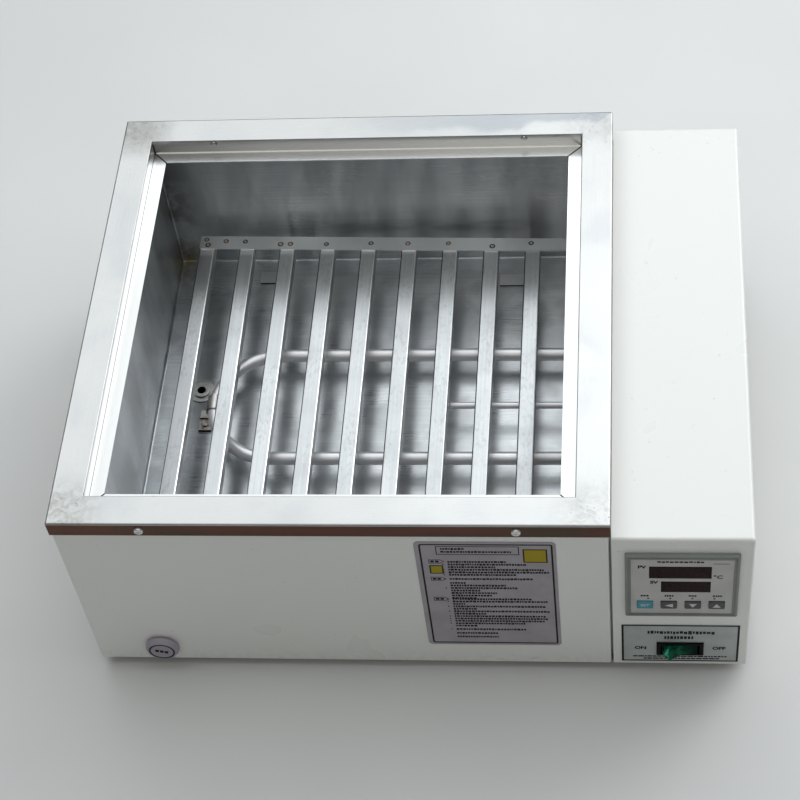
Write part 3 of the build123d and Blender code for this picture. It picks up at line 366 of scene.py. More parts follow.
def rim_steel():
    """Bright satin rim: grain along each member, ground welds at the mitres, and a skirt coloured dark brown
    as a painted reflection of a dark floor.
    """
    look = Look("rim_steel", RIM_BRIGHT, 0.27, 1.0)
    zones = RimZones(look)
    grain_side = look.noise(2400, 3.0, 0.6, ALONG_Y)
    grain_front = look.noise(2400, 3.0, 0.6, ALONG_X, shift=4.0)
    grain = look.math("ADD", look.product(grain_side, zones.side_member),
                      look.product(grain_front, zones.cross_member))
    swirl = look.noise(130, 5.0, 0.65, warp=1.6, shift=2.0)
    ground = look.product(zones.corner, look.remap(swirl, 0.36, 0.66))
    cloud = look.noise(14, 3.0, 0.55, warp=0.6, shift=9.0)
    tint = rim_inside_tint(look, zones, rim_top_tint(look, zones, grain, cloud, swirl, ground))
    # Painted reflection: the outer skirt is coloured a streaky dark brown, standing in for a dark floor seen
    # in it.
    outside = look.remap(zones.reach, zones.half - 0.0010, zones.half - 0.0004)
    below = look.remap(look.axis(2), RIM_HIGH.z - 0.0018, RIM_HIGH.z - 0.0010, 1.0, 0.0)
    skirt = look.product(outside, below)
    rust_and_reflection = look.noise(16, 3.0, 0.6, (1, 1, 5), shift=6.0)
    brown = look.mix(look.remap(rust_and_reflection, 0.35, 0.7), (0.128, 0.056, 0.040), (0.082, 0.056, 0.038))
    look.set("Base Color", look.mix(skirt, tint, brown))
    rough = look.math("ADD", look.remap(grain, 0.2, 0.8, 0.26, 0.31), look.product(ground, 0.12))
    look.set("Roughness", look.math("ADD", rough, look.product(skirt, 0.06)))
    look.bump(grain, 0.0000008)
    look.bump(look.product(swirl, zones.corner), 0.00004)
    return look


STAIN_WIDTH = 0.030
STAIN_DEPTH = 0.034
STAIN_HEIGHT = 0.035
SCUM_LEVEL = 0.002
TIDE_LEVEL = 0.018
TIDE_REACH = 0.0012
BAND_LEVEL = 0.036
BAND_REACH = 0.013
BAND_LEFT = (0.030, 0.070)
BAND_RIGHT = (0.060, 0.010)


def tank_steel():
    """Dull cloudy steel: stretched dark blotches that are partly clouding and partly painted reflection,
    bright patches painted as glare, a tide line, brown residue in one corner and a dark band low on the back
    wall painted as a reflection of the rack's back bar.
    """
    color = (0.63, 0.655, 0.67)
    look = brushed("tank_steel", color, 0.33, ALONG_X, 0.000006, 0.16, metal=0.9)
    low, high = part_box("inner_tank")
    floor = low.z
    base = look.base()
    # Partly the steel's own clouding, partly painted reflection: stretched dark blotches.
    clouding_and_reflection = look.noise(30, 3.0, 0.55, (1, 1, 0.22), warp=0.35, shift=13.0)
    base = look.mix(look.remap(clouding_and_reflection, 0.40, 0.62, 0.0, 0.8), base, (0.42, 0.43, 0.44))
    glare = look.noise(17, 2.0, 0.5, (1, 1, 0.2), warp=0.3, shift=21.0)
    base = look.mix(look.remap(glare, 0.56, 0.72, 0.0, 0.5), base, (0.80, 0.81, 0.81))
    foot = look.remap(look.axis(2), floor, floor + STAIN_HEIGHT, 1.0, 0.0)
    corner_x = look.remap(look.axis(0), low.x, low.x + STAIN_WIDTH, 1.0, 0.0)
    corner_y = look.remap(look.axis(1), high.y - STAIN_DEPTH, high.y)
    crust = look.remap(look.noise(210, 5.0, 0.7, warp=0.6), 0.42, 0.62)
    stain = look.product(foot, corner_x, corner_y, crust)
    base = look.mix(look.product(stain, 0.7), base, (0.19, 0.145, 0.075))
    upright = look.product(corner_x, look.near(1, high.y, 0.006), look.remap(look.noise(60, 4.0), 0.4, 0.6))
    base = look.mix(look.product(upright, 0.7), base, (0.12, 0.10, 0.07))
    scum = look.product(look.near(2, floor + SCUM_LEVEL, 0.006), corner_x, corner_y,
                        look.remap(crust, 0.3, 0.9))
    base = look.mix(look.product(scum, 0.9), base, (0.45, 0.39, 0.17))
    tide = look.product(look.near(2, floor + TIDE_LEVEL, TIDE_REACH),
                        look.remap(look.noise(30, 4.0), 0.45, 0.6))
    base = look.mix(look.product(tide, 0.35), base, (0.62, 0.60, 0.55))
    # Painted reflection: a dark band low on the back wall, standing in for the rack's back bar seen reflected
    # in it.
    streak = look.remap(look.noise(26, 2.0, 0.5, (1, 1, 3), shift=17.0), 0.3, 0.6, 0.45, 1.0)
    ends = look.product(look.remap(look.axis(0), *(low.x + inset for inset in BAND_LEFT)),
                        look.remap(look.axis(0), *(high.x - inset for inset in BAND_RIGHT), 1.0, 0.0))
    band = look.product(look.near(1, high.y, 0.004), look.near(2, floor + BAND_LEVEL, BAND_REACH),
                        streak, ends)
    base = look.mix(look.product(band, 0.8), base, (0.15, 0.155, 0.16))
    look.set("Base Color", base)
    look.smear((0.0, 0.1, 1.0), 0.8)
    return look


BACK_BAR_EDGE = (0.0205, 0.0165)


def rack_steel():
    """Brushed and marked steel, with painted light: the back bar lightened as a painted highlight, painted
    highlights on the right edges, painted shade on the left edges and on the front faces of the feet.
    """
    look = brushed("rack_steel", (0.53, 0.545, 0.55), 0.36, ALONG_Y, 0.00001, 0.14, metal=0.92)
    base = look.base()
    mottle = look.noise(480, 4.0, 0.7, (1, 0.45, 1), shift=3.0)
    patch = look.noise(30, 3.0, 0.6, shift=8.0)
    marks = look.product(look.remap(mottle, 0.48, 0.66), look.remap(patch, 0.38, 0.6), 0.5)
    base = look.mix(marks, base, (0.30, 0.30, 0.29))
    bars_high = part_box("rack_bars")[1]
    # Painted highlight: the back bar lightened.
    back_bar_highlight = look.remap(look.axis(1), *(bars_high.y - edge for edge in BACK_BAR_EDGE))
    base = look.mix(look.product(back_bar_highlight, 0.75), base, (0.86, 0.87, 0.88))
    top = look.remap(look.axis(2), bars_high.z - 0.004, bars_high.z - 0.003)
    # Painted highlight: the rounded right edges of the tops whitened, as if they caught light from the right.
    brushing_and_highlight = look.product(look.facing(0, 1.0, 0.1, 0.35), look.facing(0, -1.0, -0.92, -0.75), top)
    base = look.mix(brushing_and_highlight, base, (1.0, 1.0, 1.0))
    # Painted shade: the left edges of the tops darkened.
    base = look.mix(look.product(look.facing(0, -1.0, 0.15, 0.5), top, 0.8), base, (0.08, 0.08, 0.08))
    # Painted shade: the front faces of the feet darkened almost to black.
    foot = look.product(look.remap(look.axis(2), TANK_FLOOR + 0.002, TANK_FLOOR + 0.003, 1.0, 0.0),
                        look.facing(1, -1.0))
    look.set("Base Color", look.mix(foot, base, (0.015, 0.015, 0.016)))
    look.smear((1.0, 0.0, 0.0), 0.5)
    return look


def heater_steel():
    """Drawn tube with a straw heat tint and pale scale."""
    look = brushed("heater_steel", (0.83, 0.82, 0.84), 0.38, ALONG_X, 0.000004, 0.05, metal=0.65)
    base = look.base()
    tint = look.remap(look.noise(24, 3.0, 0.6, shift=5.0), 0.42, 0.7)
    base = look.mix(look.product(tint, 0.25), base, (0.68, 0.66, 0.62))
    scale = look.remap(look.noise(520, 4.0, 0.7, shift=2.0), 0.6, 0.72)
    look.set("Base Color", look.mix(look.product(scale, 0.25), base, (0.70, 0.69, 0.68)))
    return look


RUST_RADIUS = 0.004
RUST_FADE = 0.006


def fitting_steel():
    """Plain steel of the small fittings: painted shade in the drain's bore, a rusted patch round the clip's
    rivet, and painted shade on low faces that look to the front.
    """
    look = brushed("fitting_steel", (0.66, 0.65, 0.62), 0.32, EVEN, 0.00003, 0.25)
    base = look.base()
    low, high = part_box("drain_fitting")
    # Painted shade: the drain's bore darkened almost to black.
    bore = look.within((low + high) / 2, DRAIN_BORE * MM, 0.00005)
    base = look.mix(bore, base, (0.006, 0.006, 0.006))
    low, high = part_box("clip_rivet")
    rust_and_reflection = look.product(look.within((low + high) / 2, RUST_RADIUS, RUST_FADE),
                        look.remap(look.noise(420, 4.0), 0.3, 0.6), 0.8)
    base = look.mix(rust_and_reflection, base, (0.30, 0.20, 0.14))
    # Painted shade: low faces that look to the front, such as the clip's lips, darkened almost to black.
    edge = look.product(look.remap(look.axis(2), TANK_FLOOR + 0.003, TANK_FLOOR + 0.004, 1.0, 0.0),
                        look.facing(1, -1.0))
    look.set("Base Color", look.mix(look.product(edge, 0.95), base, (0.012, 0.011, 0.010)))
    return look


def wool():
    """Pressed mineral wool: matted fibres."""
    look = Look("mineral_wool", (0.72, 0.64, 0.38), 0.95, 0.0, Sheen_Weight=0.3)
    fibres = look.noise(900, 6.0, 0.8, (1, 0.2, 1), warp=1.5)
    look.set("Base Color", look.mix(look.remap(fibres, 0.3, 0.7), (0.52, 0.44, 0.24), (0.80, 0.74, 0.52)))
    look.bump(fibres, 0.0006)
    return look


def printed_film(name, color, rough):
    """Printed self-adhesive film: a satin face with faint ripples."""
    look = Look(name, color, rough, 0.0, Coat_Weight=0.3, Coat_Roughness=0.2)
    ripple = look.noise(60, 2.0, 0.5, shift=1.0)
    fine = look.noise(1500, 2.0, 0.5)
    shade = tuple(c * 0.86 for c in color)
    look.set("Base Color", look.mix(look.remap(ripple, 0.3, 0.7), shade, color))
    look.set("Roughness", look.remap(fine, 0.3, 0.7, rough - 0.05, rough + 0.07))
    look.bump(ripple, 0.00008)
    return look


def plastic_filter():
    """Dark red filter over the displays."""
    look = Look("display", (0.018, 0.006, 0.008), 0.3, 0.0, Specular_IOR_Level=0.06)
    haze = look.noise(70, 3.0, 0.5)
    look.set("Base Color", look.mix(look.remap(haze, 0.35, 0.7),
                                    (0.013, 0.005, 0.007), (0.026, 0.008, 0.011)))
    look.set("Roughness", look.remap(haze, 0.3, 0.7, 0.26, 0.36))
    return look


def clear_green():
    """Translucent green rocker moulding, darker towards its right end as painted shade, with a painted
    highlight near its left end.
    """
    low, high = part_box("rocker")
    look = Look("rocker_green", (0.0, 0.05, 0.028), 0.2, 0.0, Specular_IOR_Level=0.03)
    depth = look.noise(260, 2.0, 0.5, (1, 1, 0.4), warp=0.4)
    tint = look.mix(look.remap(depth, 0.35, 0.65), (0.0, 0.038, 0.020), (0.002, 0.13, 0.065))
    # Painted shade: darker towards the right end.
    tint = look.mix(look.remap(look.axis(0), high.x - 0.012, high.x - 0.002), tint, (0.0, 0.010, 0.006))
    # Painted highlight: a bright green streak near the left end.
    painted_facet_highlight = look.product(look.near(0, low.x + 0.0035, 0.0022), look.remap(depth, 0.42, 0.6))
    look.set("Base Color", look.mix(painted_facet_highlight, tint, (0.10, 0.70, 0.42)))
    look.set("Roughness", look.remap(look.noise(800, 2.0), 0.3, 0.7, 0.14, 0.24))
    return look


def weld_tint():
    """Heat-tinted steel: straw and brown by turns."""
    look = Look("weld_tint", (0.10, 0.07, 0.05), 0.5, 0.6)
    burn = look.noise(160, 3.0, 0.6)
    look.set("Base Color", look.mix(look.remap(burn, 0.42, 0.58), (0.045, 0.042, 0.040), (0.20, 0.10, 0.045)))
    look.bump(burn, 0.0001)
    return look


def ink(name, color):
    """Screen-printed ink with a slightly patchy edge."""
    look = Look(name, color, 0.5, 0.0, Specular_IOR_Level=0.15)
    patch = look.noise(1800, 3.0, 0.6)
    thin = tuple(c * 0.8 + 0.008 for c in color)
    look.set("Base Color", look.mix(look.remap(patch, 0.45, 0.75, 0.0, 0.5), color, thin))
    look.set("Roughness", look.remap(patch, 0.3, 0.7, 0.44, 0.56))
    return look


LOOKS = {
    "paint": paint(),
    "plain_steel": brushed("plain_steel", (0.56, 0.57, 0.58), 0.42, ALONG_Y),
    "rim_steel": rim_steel(),
    "tank_steel": tank_steel(),
    "rack_steel": rack_steel(),
    "heater_steel": heater_steel(),
    "fitting_steel": fitting_steel(),
    "screw_steel": brushed("screw_steel", (0.84, 0.84, 0.83), 0.28, EVEN, 0.00001, 0.15, metal=0.6),
    "silicone": moulded("silicone", (0.76, 0.74, 0.70), 0.45, 500, Subsurface_Weight=0.15),
    "foot_rubber": moulded("foot_rubber", (0.022, 0.022, 0.022), 0.75, 600, 0.00008),
    "mineral_wool": wool(),
    "drain_plastic": moulded("drain_plastic", (0.395, 0.36, 0.42), 0.42, 700),
    "socket_plastic": moulded("socket_plastic", (0.68, 0.68, 0.66), 0.45),
    "bezel_plastic": moulded("bezel_plastic", (0.25, 0.27, 0.255), 0.5),
    "face_plastic": moulded("face_plastic", (0.56, 0.55, 0.54), 0.55, 1300),
    "display": plastic_filter(),
    "lamp": moulded("lamp", (0.060, 0.045, 0.030), 0.2, 800, 0.00001),
    "set_key": moulded("set_key", (0.045, 0.30, 0.38), 0.45),
    "arrow_key": moulded("arrow_key", (0.065, 0.065, 0.070), 0.48),
    "black_plastic": moulded("black_plastic", (0.008, 0.007, 0.008), 0.42, Specular_IOR_Level=0.05),
    "green_plastic": moulded("green_plastic", (0.03, 0.22, 0.08), 0.45),
    "rocker_green": clear_green(),
    "terminal_cream": moulded("terminal_cream", (0.70, 0.64, 0.50), 0.5),
    "contact_brass": brushed("contact_brass", (0.72, 0.55, 0.24), 0.3, EVEN, 0.00003, 0.2),
    "nameplate_grey": printed_film("nameplate_grey", (0.44, 0.475, 0.475), 0.42),
    "label_film": printed_film("label_film", (0.37, 0.34, 0.375), 0.42),
    "lead_red": moulded("lead_red", (0.40, 0.03, 0.025), 0.4),
    "lead_white": moulded("lead_white", (0.75, 0.75, 0.73), 0.4),
    "lead_black": moulded("lead_black", (0.018, 0.018, 0.02), 0.4),
}
BLACK_INK = ink("black_ink", (0.006, 0.006, 0.007))
PALE_INK = ink("pale_ink", (0.62, 0.63, 0.62))
YELLOW_INK = ink("yellow_ink", (0.40, 0.31, 0.015))
SEGMENT_INK = moulded("segment_ink", (0.030, 0.010, 0.012), 0.36, Specular_IOR_Level=0.06)
WELD = weld_tint()


def dress_nodes():
    """Gives each CAD node the look of its material slot in the record."""
    slots = {part["node"]: part["material_slot"] for part in frame["record"]["subparts"]}
    for name, piece in frame["nodes"].items():
        look = LOOKS[slots[name]].material
        if not piece.material_slots:
            piece.data.materials.append(look)
        for slot in piece.material_slots:
            slot.material = look


# ---------------------------------------------------------------- printed shapes on upright faces
class Print:
    """Thin flat shapes on a face that looks towards -Y. Outlines are lists of bench (x, z)."""

    def __init__(self, name, body, look, slot, surface):
        self.name = name
        self.body = body
        self.look = look
        self.slot = slot
        self.surface = surface
        self.mesh = bmesh.new()

    def ring(self, outline, y):
        return [self.mesh.verts.new(bench(x, y, z)) for x, z in outline]

    def shape(self, outline):
        """A filled outline, given counter-clockwise as seen from the front."""
        front = self.ring(outline, self.surface - INK_THICKNESS)
        back = self.ring(outline, self.surface)
        self.mesh.faces.new(front)
        self.mesh.faces.new(back[::-1])
        self.wall(front, back)

    def wall(self, front, back):
        count = len(front)
        for i in range(count):
            j = (i + 1) % count
            self.mesh.faces.new((front[j], front[i], back[i], back[j]))

    def border(self, outer, inner):
        """The band between two outlines with the same number of points."""
        depths = (self.surface - INK_THICKNESS, self.surface)
        loops = [self.ring(outline, y) for outline in (outer, inner) for y in depths]
        outer_front, outer_back, inner_front, inner_back = loops
        count = len(outer)
        for i in range(count):
            j = (i + 1) % count
            self.mesh.faces.new((outer_front[i], outer_front[j], inner_front[j], inner_front[i]))
            self.mesh.faces.new((outer_back[j], outer_back[i], inner_back[i], inner_back[j]))
        self.wall(outer_front, outer_back)
        self.wall(inner_front[::-1], inner_back[::-1])

    def bar(self, x, z):
        self.shape(box_outline(x, z))

    def dashes(self, x, z, height, seed, dash=(1.2, 4.2), gap=0.55, jitter=0.0):
        """A row of bars of uneven length and edges, from x[0] to x[1], centred on z."""
        draw = random.Random(seed)
        left = x[0]
        while left < x[1] - dash[0]:
            right = min(left + draw.uniform(*dash), x[1])
            cut = [height * (0.5 - draw.uniform(0.0, 2 * jitter)) for _ in range(2)]
            self.bar((left, right), (z - cut[0], z + cut[1]))
            left = right + gap

    def letters(self, text, size, x, z, weight=0.0):
        """Plain lettering, centred on (x, z), size millimetres high."""
        curve = bpy.data.curves.new("letters", "FONT")
        curve.body = text
        curve.align_x = "CENTER"
        curve.align_y = "CENTER"
        curve.size = size / 0.7
        curve.offset = weight
        curve.extrude = INK_THICKNESS / 2
        holder = bpy.data.objects.new("letters", curve)
        bpy.context.scene.collection.objects.link(holder)
        bpy.context.view_layer.update()
        flat = bpy.data.meshes.new_from_object(holder)
        first = len(self.mesh.verts)
        self.mesh.from_mesh(flat)
        self.mesh.verts.ensure_lookup_table()
        for vertex in self.mesh.verts[first:]:
            u, v, depth = vertex.co
            vertex.co = bench(x + u, self.surface - INK_THICKNESS / 2 - depth, z + v)
        bpy.data.objects.remove(holder)
        bpy.data.curves.remove(curve)
        bpy.data.meshes.remove(flat)

    def finish(self):
        bmesh.ops.recalc_face_normals(self.mesh, faces=self.mesh.faces)
        return add_piece(self.name, self.mesh, self.body, self.look)


def add_piece(name, mesh, body, look):
    """Makes an object of a bmesh that is in frame coordinates, and lets it ride on a body."""
    data = bpy.data.meshes.new(name)
    mesh.to_mesh(data)
    mesh.free()
    data.materials.append(look.material)
    piece = bpy.data.objects.new(name, data)
    bpy.context.scene.collection.objects.link(piece)
    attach(piece, body)
    return piece


def box_outline(x, z):
    return [(x[0], z[0]), (x[1], z[0]), (x[1], z[1]), (x[0], z[1])]


def rounded_outline(x, z, radius, steps=5):
    """A rectangle with round corners."""
    points = []
    centres = [(x[1] - radius, z[0] + radius, -90), (x[1] - radius, z[1] - radius, 0),
               (x[0] + radius, z[1] - radius, 90), (x[0] + radius, z[0] + radius, 180)]
    for cx, cz, start in centres:
        for step in range(steps + 1):
            angle = math.radians(start + 90 * step / steps)
            points.append((cx + radius * math.cos(angle), cz + radius * math.sin(angle)))
    return points


def circle_outline(x, z, radius, steps=40):
    turns = [math.tau * step / steps for step in range(steps)]
    return [(x + radius * math.cos(turn), z + radius * math.sin(turn)) for turn in turns]


# ---------------------------------------------------------------- front label
TEXT_DASH = dict(dash=(0.9, 2.1), gap=0.42, jitter=0.08)
HEADING_HEIGHT = 2.3
HEADING_LINE = 0.6
ROW_PITCH = 3.05
ROW_HEIGHT = 2.45
ROW_INDENT = 20.0
MARKED_ROW = 40
ROW_BLOCKS = (
    (23.0, (37, 50, 30, 62, 66, 44)),
    (43.2, (54,)),
    (48.0, (10, 36, 44, 20, 30, 26, 17)),
    (67.6, (52, 62, 9, 61, 16, 63, 22, 60, 62, 60, 46, 15)),
    (105.6, (47,)),
    (110.6, (28,)),
    (115.2, (28,)),
)
TAG_LEVELS = (22.6, 43.2, 67.6)
PATCH_EDGE = 0.9


def label_details():
    """A dark border, a heading box, tags and rows of plain bars that stand for the printed rows."""
    low, high = span("front_label")
    line = 1.2
    outer = ((low.x + 3.0, high.x - 2.0), (low.z + 2.2, high.z - 2.5))
    inner = tuple((a + line, b - line) for a, b in outer)
    art = Print("label_print", "bath", BLACK_INK, "label_film", low.y)
    art.border(rounded_outline(*outer, 1.8), rounded_outline(*inner, 1.0))
    top = high.z
    heading = ((low.x + 13.5, low.x + 66.0), (top - 14.6, top - 5.0))
    art.border(box_outline(*heading),
               box_outline(*[(a + HEADING_LINE, b - HEADING_LINE) for a, b in heading]))
    left, right = heading[0]
    art.dashes((left + 3, left + 19), top - 8.0, HEADING_HEIGHT, 1, **TEXT_DASH)
    art.dashes((left + 3, right - 5), top - 11.4, HEADING_HEIGHT, 2, **TEXT_DASH)
    left = low.x + ROW_INDENT
    seed = 10
    for start, lengths in ROW_BLOCKS:
        for i, length in enumerate(lengths):
            level = top - start - ROW_PITCH * i
            seed += 1
            art.dashes((left, min(left + length, inner[0][1] - 2)), level, ROW_HEIGHT, seed, **TEXT_DASH)
            if length > MARKED_ROW:
                art.bar((left - 3.4, left - 2.6), (level - 0.6, level + 0.6))
    for start in TAG_LEVELS:
        tag_row(art, low.x + 8.0, top - start)
    patches = Print("label_patches", "bath", YELLOW_INK, "label_film", low.y)
    for x, z in (((high.x - 20.0, high.x - 6.5), (top - 22.5, top - 9.0)),
                 ((low.x + 9.0, low.x + 16.0), (top - 36.0, top - 28.0))):
        outside = [(a - PATCH_EDGE, b + PATCH_EDGE) for a, b in (x, z)]
        art.border(box_outline(*outside), box_outline(x, z))
        patches.bar(x, z)
    art.finish()
    patches.finish()


def tag_row(art, x, z):
    """A small pointed tag outline with two bars in it."""
    width, half, point, line = 7.4, 2.2, 2.6, 0.45
    outer = [(x, z - half), (x + width, z - half), (x + width + point, z),
             (x + width, z + half), (x, z + half)]
    inner = [(x + line, z - half + line), (x + width - 0.1, z - half + line),
             (x + width + point - 0.6, z), (x + width - 0.1, z + half - line), (x + line, z + half - line)]
    art.border(outer, inner)
    for left in (x + 1.2, x + 4.2):
        art.bar((left, left + 2.3), (z - 1.1, z + 1.1))


# ---------------------------------------------------------------- nameplate
def nameplate_details():
    """A border that is heavier at the sides, plain bars for the title, and ON and OFF."""
    low, high = span("nameplate")
    switch_low, switch_high = span("switch_body")
    art = Print("nameplate_print", "bath", BLACK_INK, "nameplate_grey", low.y)
    side, edge = 1.4, 1.35
    art.border(box_outline((low.x, high.x), (low.z, high.z)),
               box_outline((low.x + side, high.x - side), (low.z + edge, high.z - edge)))
    middle = (low.x + high.x) / 2
    top = high.z
    art.dashes((middle - 21.5, middle + 23.0), top - 9.4, 4.6, 3, dash=(1.0, 2.6), gap=0.55, jitter=0.12)
    art.dashes((middle - 10.5, middle + 8.5), top - 15.8, 3.6, 4, dash=(1.2, 2.0), gap=0.6)
    art.dashes((middle - 31.0, middle + 31.0), low.z + 6.4, 1.5, 5, dash=(1.2, 4.0), gap=0.5)
    art.dashes((middle - 24.0, middle + 26.0), low.z + 3.6, 1.5, 8, dash=(1.2, 4.0), gap=0.5)
    level = (switch_low.z + switch_high.z) / 2
    art.letters("ON", 3.4, middle - 26.0, level, 0.22)
    art.letters("OFF", 3.4, middle + 25.6, level, 0.22)
    art.finish()


# ---------------------------------------------------------------- controller
KEY_BODIES = {"key_set": "set_button", "key_shift": "shift_button",
              "key_down": "down_button", "key_up": "up_button"}
DIGITS = 4
SEGMENTS = (((-1, 1), (2, 2)), ((-1, 1), (-2, -2)), ((-1, 1), (0, 0)),
            ((1, 1), (0, 2)), ((1, 1), (-2, 0)), ((-1, -1), (-2, 0)), ((-1, -1), (0, 2)))


def controller_details():
    """Legends on the face, unlit segments behind the filters, and symbols on the keys."""
    face_low, face_high = span("controller_face")
    art = Print("controller_print", "bath", BLACK_INK, "face_plastic", face_low.y)
    pv_low, pv_high = span("pv_window")
    sv_low, sv_high = span("sv_window")
    art.letters("PV", 3.2, face_low.x + 6.9, pv_high.z - 0.8, 0.2)
    art.letters("SV", 3.2, face_low.x + 14.6, sv_high.z - 1.2, 0.2)
    art.letters("°C", 3.8, face_low.x + 54.6, pv_low.z + 1.8, 0.14)
    art.dashes((face_low.x + 16.5, face_low.x + 45.5), face_high.z - 3.2, 2.1, 6,
               dash=(1.2, 3.0), gap=0.45, jitter=0.1)
    art.bar((face_high.x - 13.0, face_high.x - 3.2), (face_high.z - 5.4, face_high.z - 4.9))
    lamp_level = span("indicator_lamps")[1].z
    for seed, key in enumerate(KEY_BODIES):
        low, high = span(key)
        middle = (low.x + high.x) / 2
        art.dashes((middle - 2.8, middle + 3.0), lamp_level + 2.4, 1.8, 20 + seed, dash=(0.9, 1.5), gap=0.35)
    art.finish()
    display_digits("pv_segments", pv_low, pv_high)
    display_digits("sv_segments", sv_low, sv_high)
    key_symbols()


def display_digits(name, low, high):
    """Unlit seven-segment digits, a shade lighter than the filter."""
    art = Print(name, "bath", SEGMENT_INK, "display", low.y)
    pitch = (high.x - low.x - 4.0) / DIGITS
    half_width = pitch * 0.28
    unit = (high.z - low.z) * 0.165
    thick = 0.45
    for digit in range(DIGITS):
        cx = low.x + 2.0 + pitch * (digit + 0.5)
        cz = (low.z + high.z) / 2
        for (x0, x1), (z0, z1) in SEGMENTS:
            grow_x = thick if x0 == x1 else -thick * 1.3
            grow_z = thick if z0 == z1 else -thick * 1.3
            art.bar((cx + x0 * half_width - grow_x, cx + x1 * half_width + grow_x),
                    (cz + z0 * unit - grow_z, cz + z1 * unit + grow_z))
        dot = cx + pitch * 0.46
        art.bar((dot - 0.4, dot + 0.4), (cz - 2 * unit - 0.4, cz - 2 * unit + 0.4))
    art.finish()


def key_symbols():
    """A word on the set key and a triangle on each of the others, all riding on their keys."""
    wide, tall = 2.6, 2.1
    triangles = {
        "key_shift": ((wide, -tall), (wide, tall), (-wide, 0.0)),
        "key_down": ((0.0, -tall), (wide, tall), (-wide, tall)),
        "key_up": ((-wide, -tall), (wide, -tall), (0.0, tall)),
    }
    for key, body in KEY_BODIES.items():
        low, high = span(key)
        cx, cz = (low.x + high.x) / 2, (low.z + high.z) / 2
        slot = "set_key" if key == "key_set" else "arrow_key"
        art = Print(key + "_symbol", body, PALE_INK, slot, low.y)
        if key == "key_set":
            art.letters("SET", 2.6, cx, cz, 0.06)
        else:
            art.shape([(cx + x, cz + z) for x, z in triangles[key]])
        art.finish()


# ---------------------------------------------------------------- drain plug
PLUG_RING = (9.0, 7.8)
PLUG_BAR_WIDTH = 2.6
PLUG_SLANT = -16


def plug_details():
    """A black ring round the middle of the plug, and three short bars across its face at a slant."""
    low, high = span("drain_plug")
    cx, cz = (low.x + high.x) / 2, (low.z + high.z) / 2
    art = Print("plug_ring", "plug", BLACK_INK, "drain_plastic", low.y)
    art.border(*(circle_outline(cx, cz, radius) for radius in PLUG_RING))
    slant = math.radians(PLUG_SLANT)
    for left in (-4.6, -1.4, 1.8):
        corners = box_outline((left, left + PLUG_BAR_WIDTH), (-1.5, 1.5))
        art.shape([(cx + x * math.cos(slant) - z * math.sin(slant),
                    cz + x * math.sin(slant) + z * math.cos(slant)) for x, z in corners])
    art.finish()


# ---------------------------------------------------------------- spot welds
WELD_SEED = 44
FRONT_WELD_LINE = 6.2
BACK_WELD_LINE = 9.8
SECOND_WELD_CHANCE = 0.35
FIRST_SLAT_WELDS = (-1.0, 0.6, 14.0)
FIRST_PAIR_OFFSET = 2.6
WELD_MARGIN = 3.5


def spot_welds():
    """Shallow dimples with a raised lip in heat-tinted rings, where the slats are welded to the bars."""
    bars_low, bars_high = span("rack_bars")
    slats_low, slats_high = span("rack_slats")
    pitch = (slats_high.x - slats_low.x - SLAT_WIDTH) / (SLATS - 1)
    draw = random.Random(WELD_SEED)
    plain, tinted = bmesh.new(), bmesh.new()
    skew = math.tan(math.radians(RACK_SKEW))
    middle = (bars_low.x + bars_high.x) / 2
    for row, y in enumerate((bars_low.y + FRONT_WELD_LINE, bars_high.y - BACK_WELD_LINE)):
        for i in range(SLATS):
            centre = slats_low.x + SLAT_WIDTH / 2 + pitch * i
            spots = [draw.uniform(-2.6, 2.6)]
            if draw.random() < SECOND_WELD_CHANCE:
                spots.append(spots[0] + draw.choice((-1, 1)) * draw.uniform(7.5, 10.5))
            if i == 0:
                spots = FIRST_SLAT_WELDS
            for offset in spots:
                x = min(max(centre + offset, bars_low.x + WELD_MARGIN), bars_high.x - WELD_MARGIN)
                lean = -(x - middle) * skew if row else 0.0
                spot_y = y + lean + draw.uniform(-2.2, 2.2)
                if i == 0 and offset < 10:
                    spot_y = y + lean + (FIRST_PAIR_OFFSET if offset < 0 else -FIRST_PAIR_OFFSET)
                radius = draw.uniform(0.95, 1.2)
                dimple(plain, x, spot_y, bars_high.z, radius)
                heat_ring(tinted, x, spot_y, bars_high.z, radius, radius + draw.uniform(0.85, 1.15))
    add_piece("spot_welds", plain, "rack", LOOKS["fitting_steel"])
    add_piece("weld_heat_rings", tinted, "rack", WELD)


def lathe(mesh, x, y, z, profile, steps=20):
    """A turned shape about a vertical axis; profile is (radius, height) from the middle outwards."""
    rings = []
    for radius, height in profile:
        if radius == 0:
            rings.append([mesh.verts.new(bench(x, y, z + height))])
            continue
        turns = [math.tau * i / steps for i in range(steps)]
        rings.append([mesh.verts.new(bench(x + radius * math.cos(t), y + radius * math.sin(t), z + height))
                      for t in turns])
    for inner, outer in zip(rings, rings[1:]):
        for i in range(steps):
            j = (i + 1) % steps
            if len(inner) == 1:
                mesh.faces.new((inner[0], outer[i], outer[j]))
            else:
                mesh.faces.new((inner[i], outer[i], outer[j], inner[j]))
    for face in mesh.faces:
        face.smooth = True


def dimple(mesh, x, y, z, radius):
    profile = [(0, 0.03), (radius * 0.5, 0.04), (radius * 0.78, 0.10), (radius * 0.92, 0.16),
               (radius, 0.10), (radius * 1.12, -0.02)]
    lathe(mesh, x, y, z, profile)


def heat_ring(mesh, x, y, z, inner, outer):
    profile = [(inner * 0.95, 0.02), (inner, 0.07), (outer * 0.95, 0.05), (outer, -0.01)]
    lathe(mesh, x, y, z, profile)


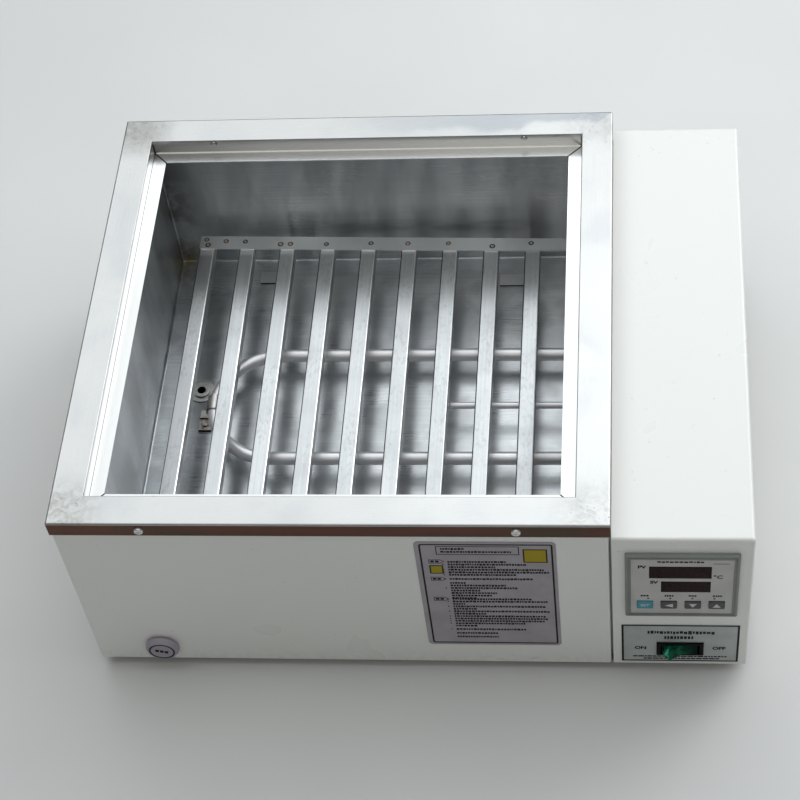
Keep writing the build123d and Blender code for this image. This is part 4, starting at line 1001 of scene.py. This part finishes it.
# ---------------------------------------------------------------- stage
FLOOR_HALF = 6.0
WORLD_COLOR = (0.97, 0.98, 0.95, 1.0)
WORLD_STRENGTH = 0.118
OBJECT_MIDDLE = (0.0, 0.0, 0.1)
CAMERA_PLACE = Vector((0.14844, -0.86644, 1.21734))
CAMERA_AIM = Vector((-0.01449, -0.02104, 0.1))
CAMERA_ROLL = math.radians(-8.874)
CAMERA_LENS = 91.47
CAMERA_SENSOR = 36.0


def floor():
    """A wide pale floor."""
    mesh = bmesh.new()
    bmesh.ops.create_grid(mesh, x_segments=2, y_segments=2, size=FLOOR_HALF)
    data = bpy.data.meshes.new("floor")
    mesh.to_mesh(data)
    mesh.free()
    look = Look("floor", (0.70, 0.70, 0.69), 0.75)
    cloud = look.remap(look.noise(3, 3.0), 0.3, 0.7)
    look.set("Base Color", look.mix(cloud, (0.68, 0.68, 0.67), (0.72, 0.72, 0.71)))
    data.materials.append(look.material)
    plane = bpy.data.objects.new("floor", data)
    plane.location.z = cad_bounds[0].z
    bpy.context.scene.collection.objects.link(plane)


def softbox(name, place, aim, size, power, color):
    """A rectangular area light; power in watts."""
    light = bpy.data.lights.new(name, "AREA")
    light.shape = "RECTANGLE"
    light.size, light.size_y = size
    light.energy = power
    light.color = color
    lamp = bpy.data.objects.new(name, light)
    lamp.location = place
    lamp.rotation_mode = "QUATERNION"
    lamp.rotation_quaternion = (Vector(aim) - Vector(place)).to_track_quat("-Z", "Y")
    bpy.context.scene.collection.objects.link(lamp)


def lighting():
    """A large soft light behind and above, four smaller ones, and dim light from all round."""
    softbox("sky_light", (0.5, 1.1, 2.1), (0.5, 1.1, 0.0), (4.6, 3.4), 66.0, (0.925, 0.97, 1.0))
    softbox("window_light", (0.42, 1.15, 1.75), OBJECT_MIDDLE, (1.3, 0.9), 3.6, (0.95, 0.98, 1.0))
    softbox("left_light", (-0.85, 1.6, 1.95), (-0.2, 0.0, 0.1), (1.2, 1.2), 1.7, (0.95, 0.98, 1.0))
    softbox("room_light", (0.10, -1.45, 2.0), OBJECT_MIDDLE, (2.2, 1.3), 6.5, (1.0, 0.99, 0.95))
    softbox("side_light", (1.5, 1.35, 1.05), OBJECT_MIDDLE, (1.2, 1.0), 15.0, (0.96, 0.98, 1.0))
    world = bpy.data.worlds.new("world")
    world.use_nodes = True
    background = world.node_tree.nodes["Background"]
    background.inputs["Color"].default_value = WORLD_COLOR
    background.inputs["Strength"].default_value = WORLD_STRENGTH
    bpy.context.scene.world = world
    bpy.context.scene.view_settings.view_transform = "Standard"


def camera():
    """A long lens from the front, high up and slightly to the right, with a small roll."""
    data = bpy.data.cameras.new("camera")
    data.lens = CAMERA_LENS
    data.sensor_width = CAMERA_SENSOR
    eye = bpy.data.objects.new("camera", data)
    eye.location = CAMERA_PLACE
    eye.rotation_mode = "QUATERNION"
    towards = (CAMERA_AIM - CAMERA_PLACE).to_track_quat("-Z", "Y")
    eye.rotation_quaternion = towards @ Quaternion((0, 0, 1), CAMERA_ROLL)
    bpy.context.scene.collection.objects.link(eye)
    bpy.context.scene.camera = eye


dress_nodes()
label_details()
nameplate_details()
controller_details()
plug_details()
spot_welds()
floor()
lighting()
camera()
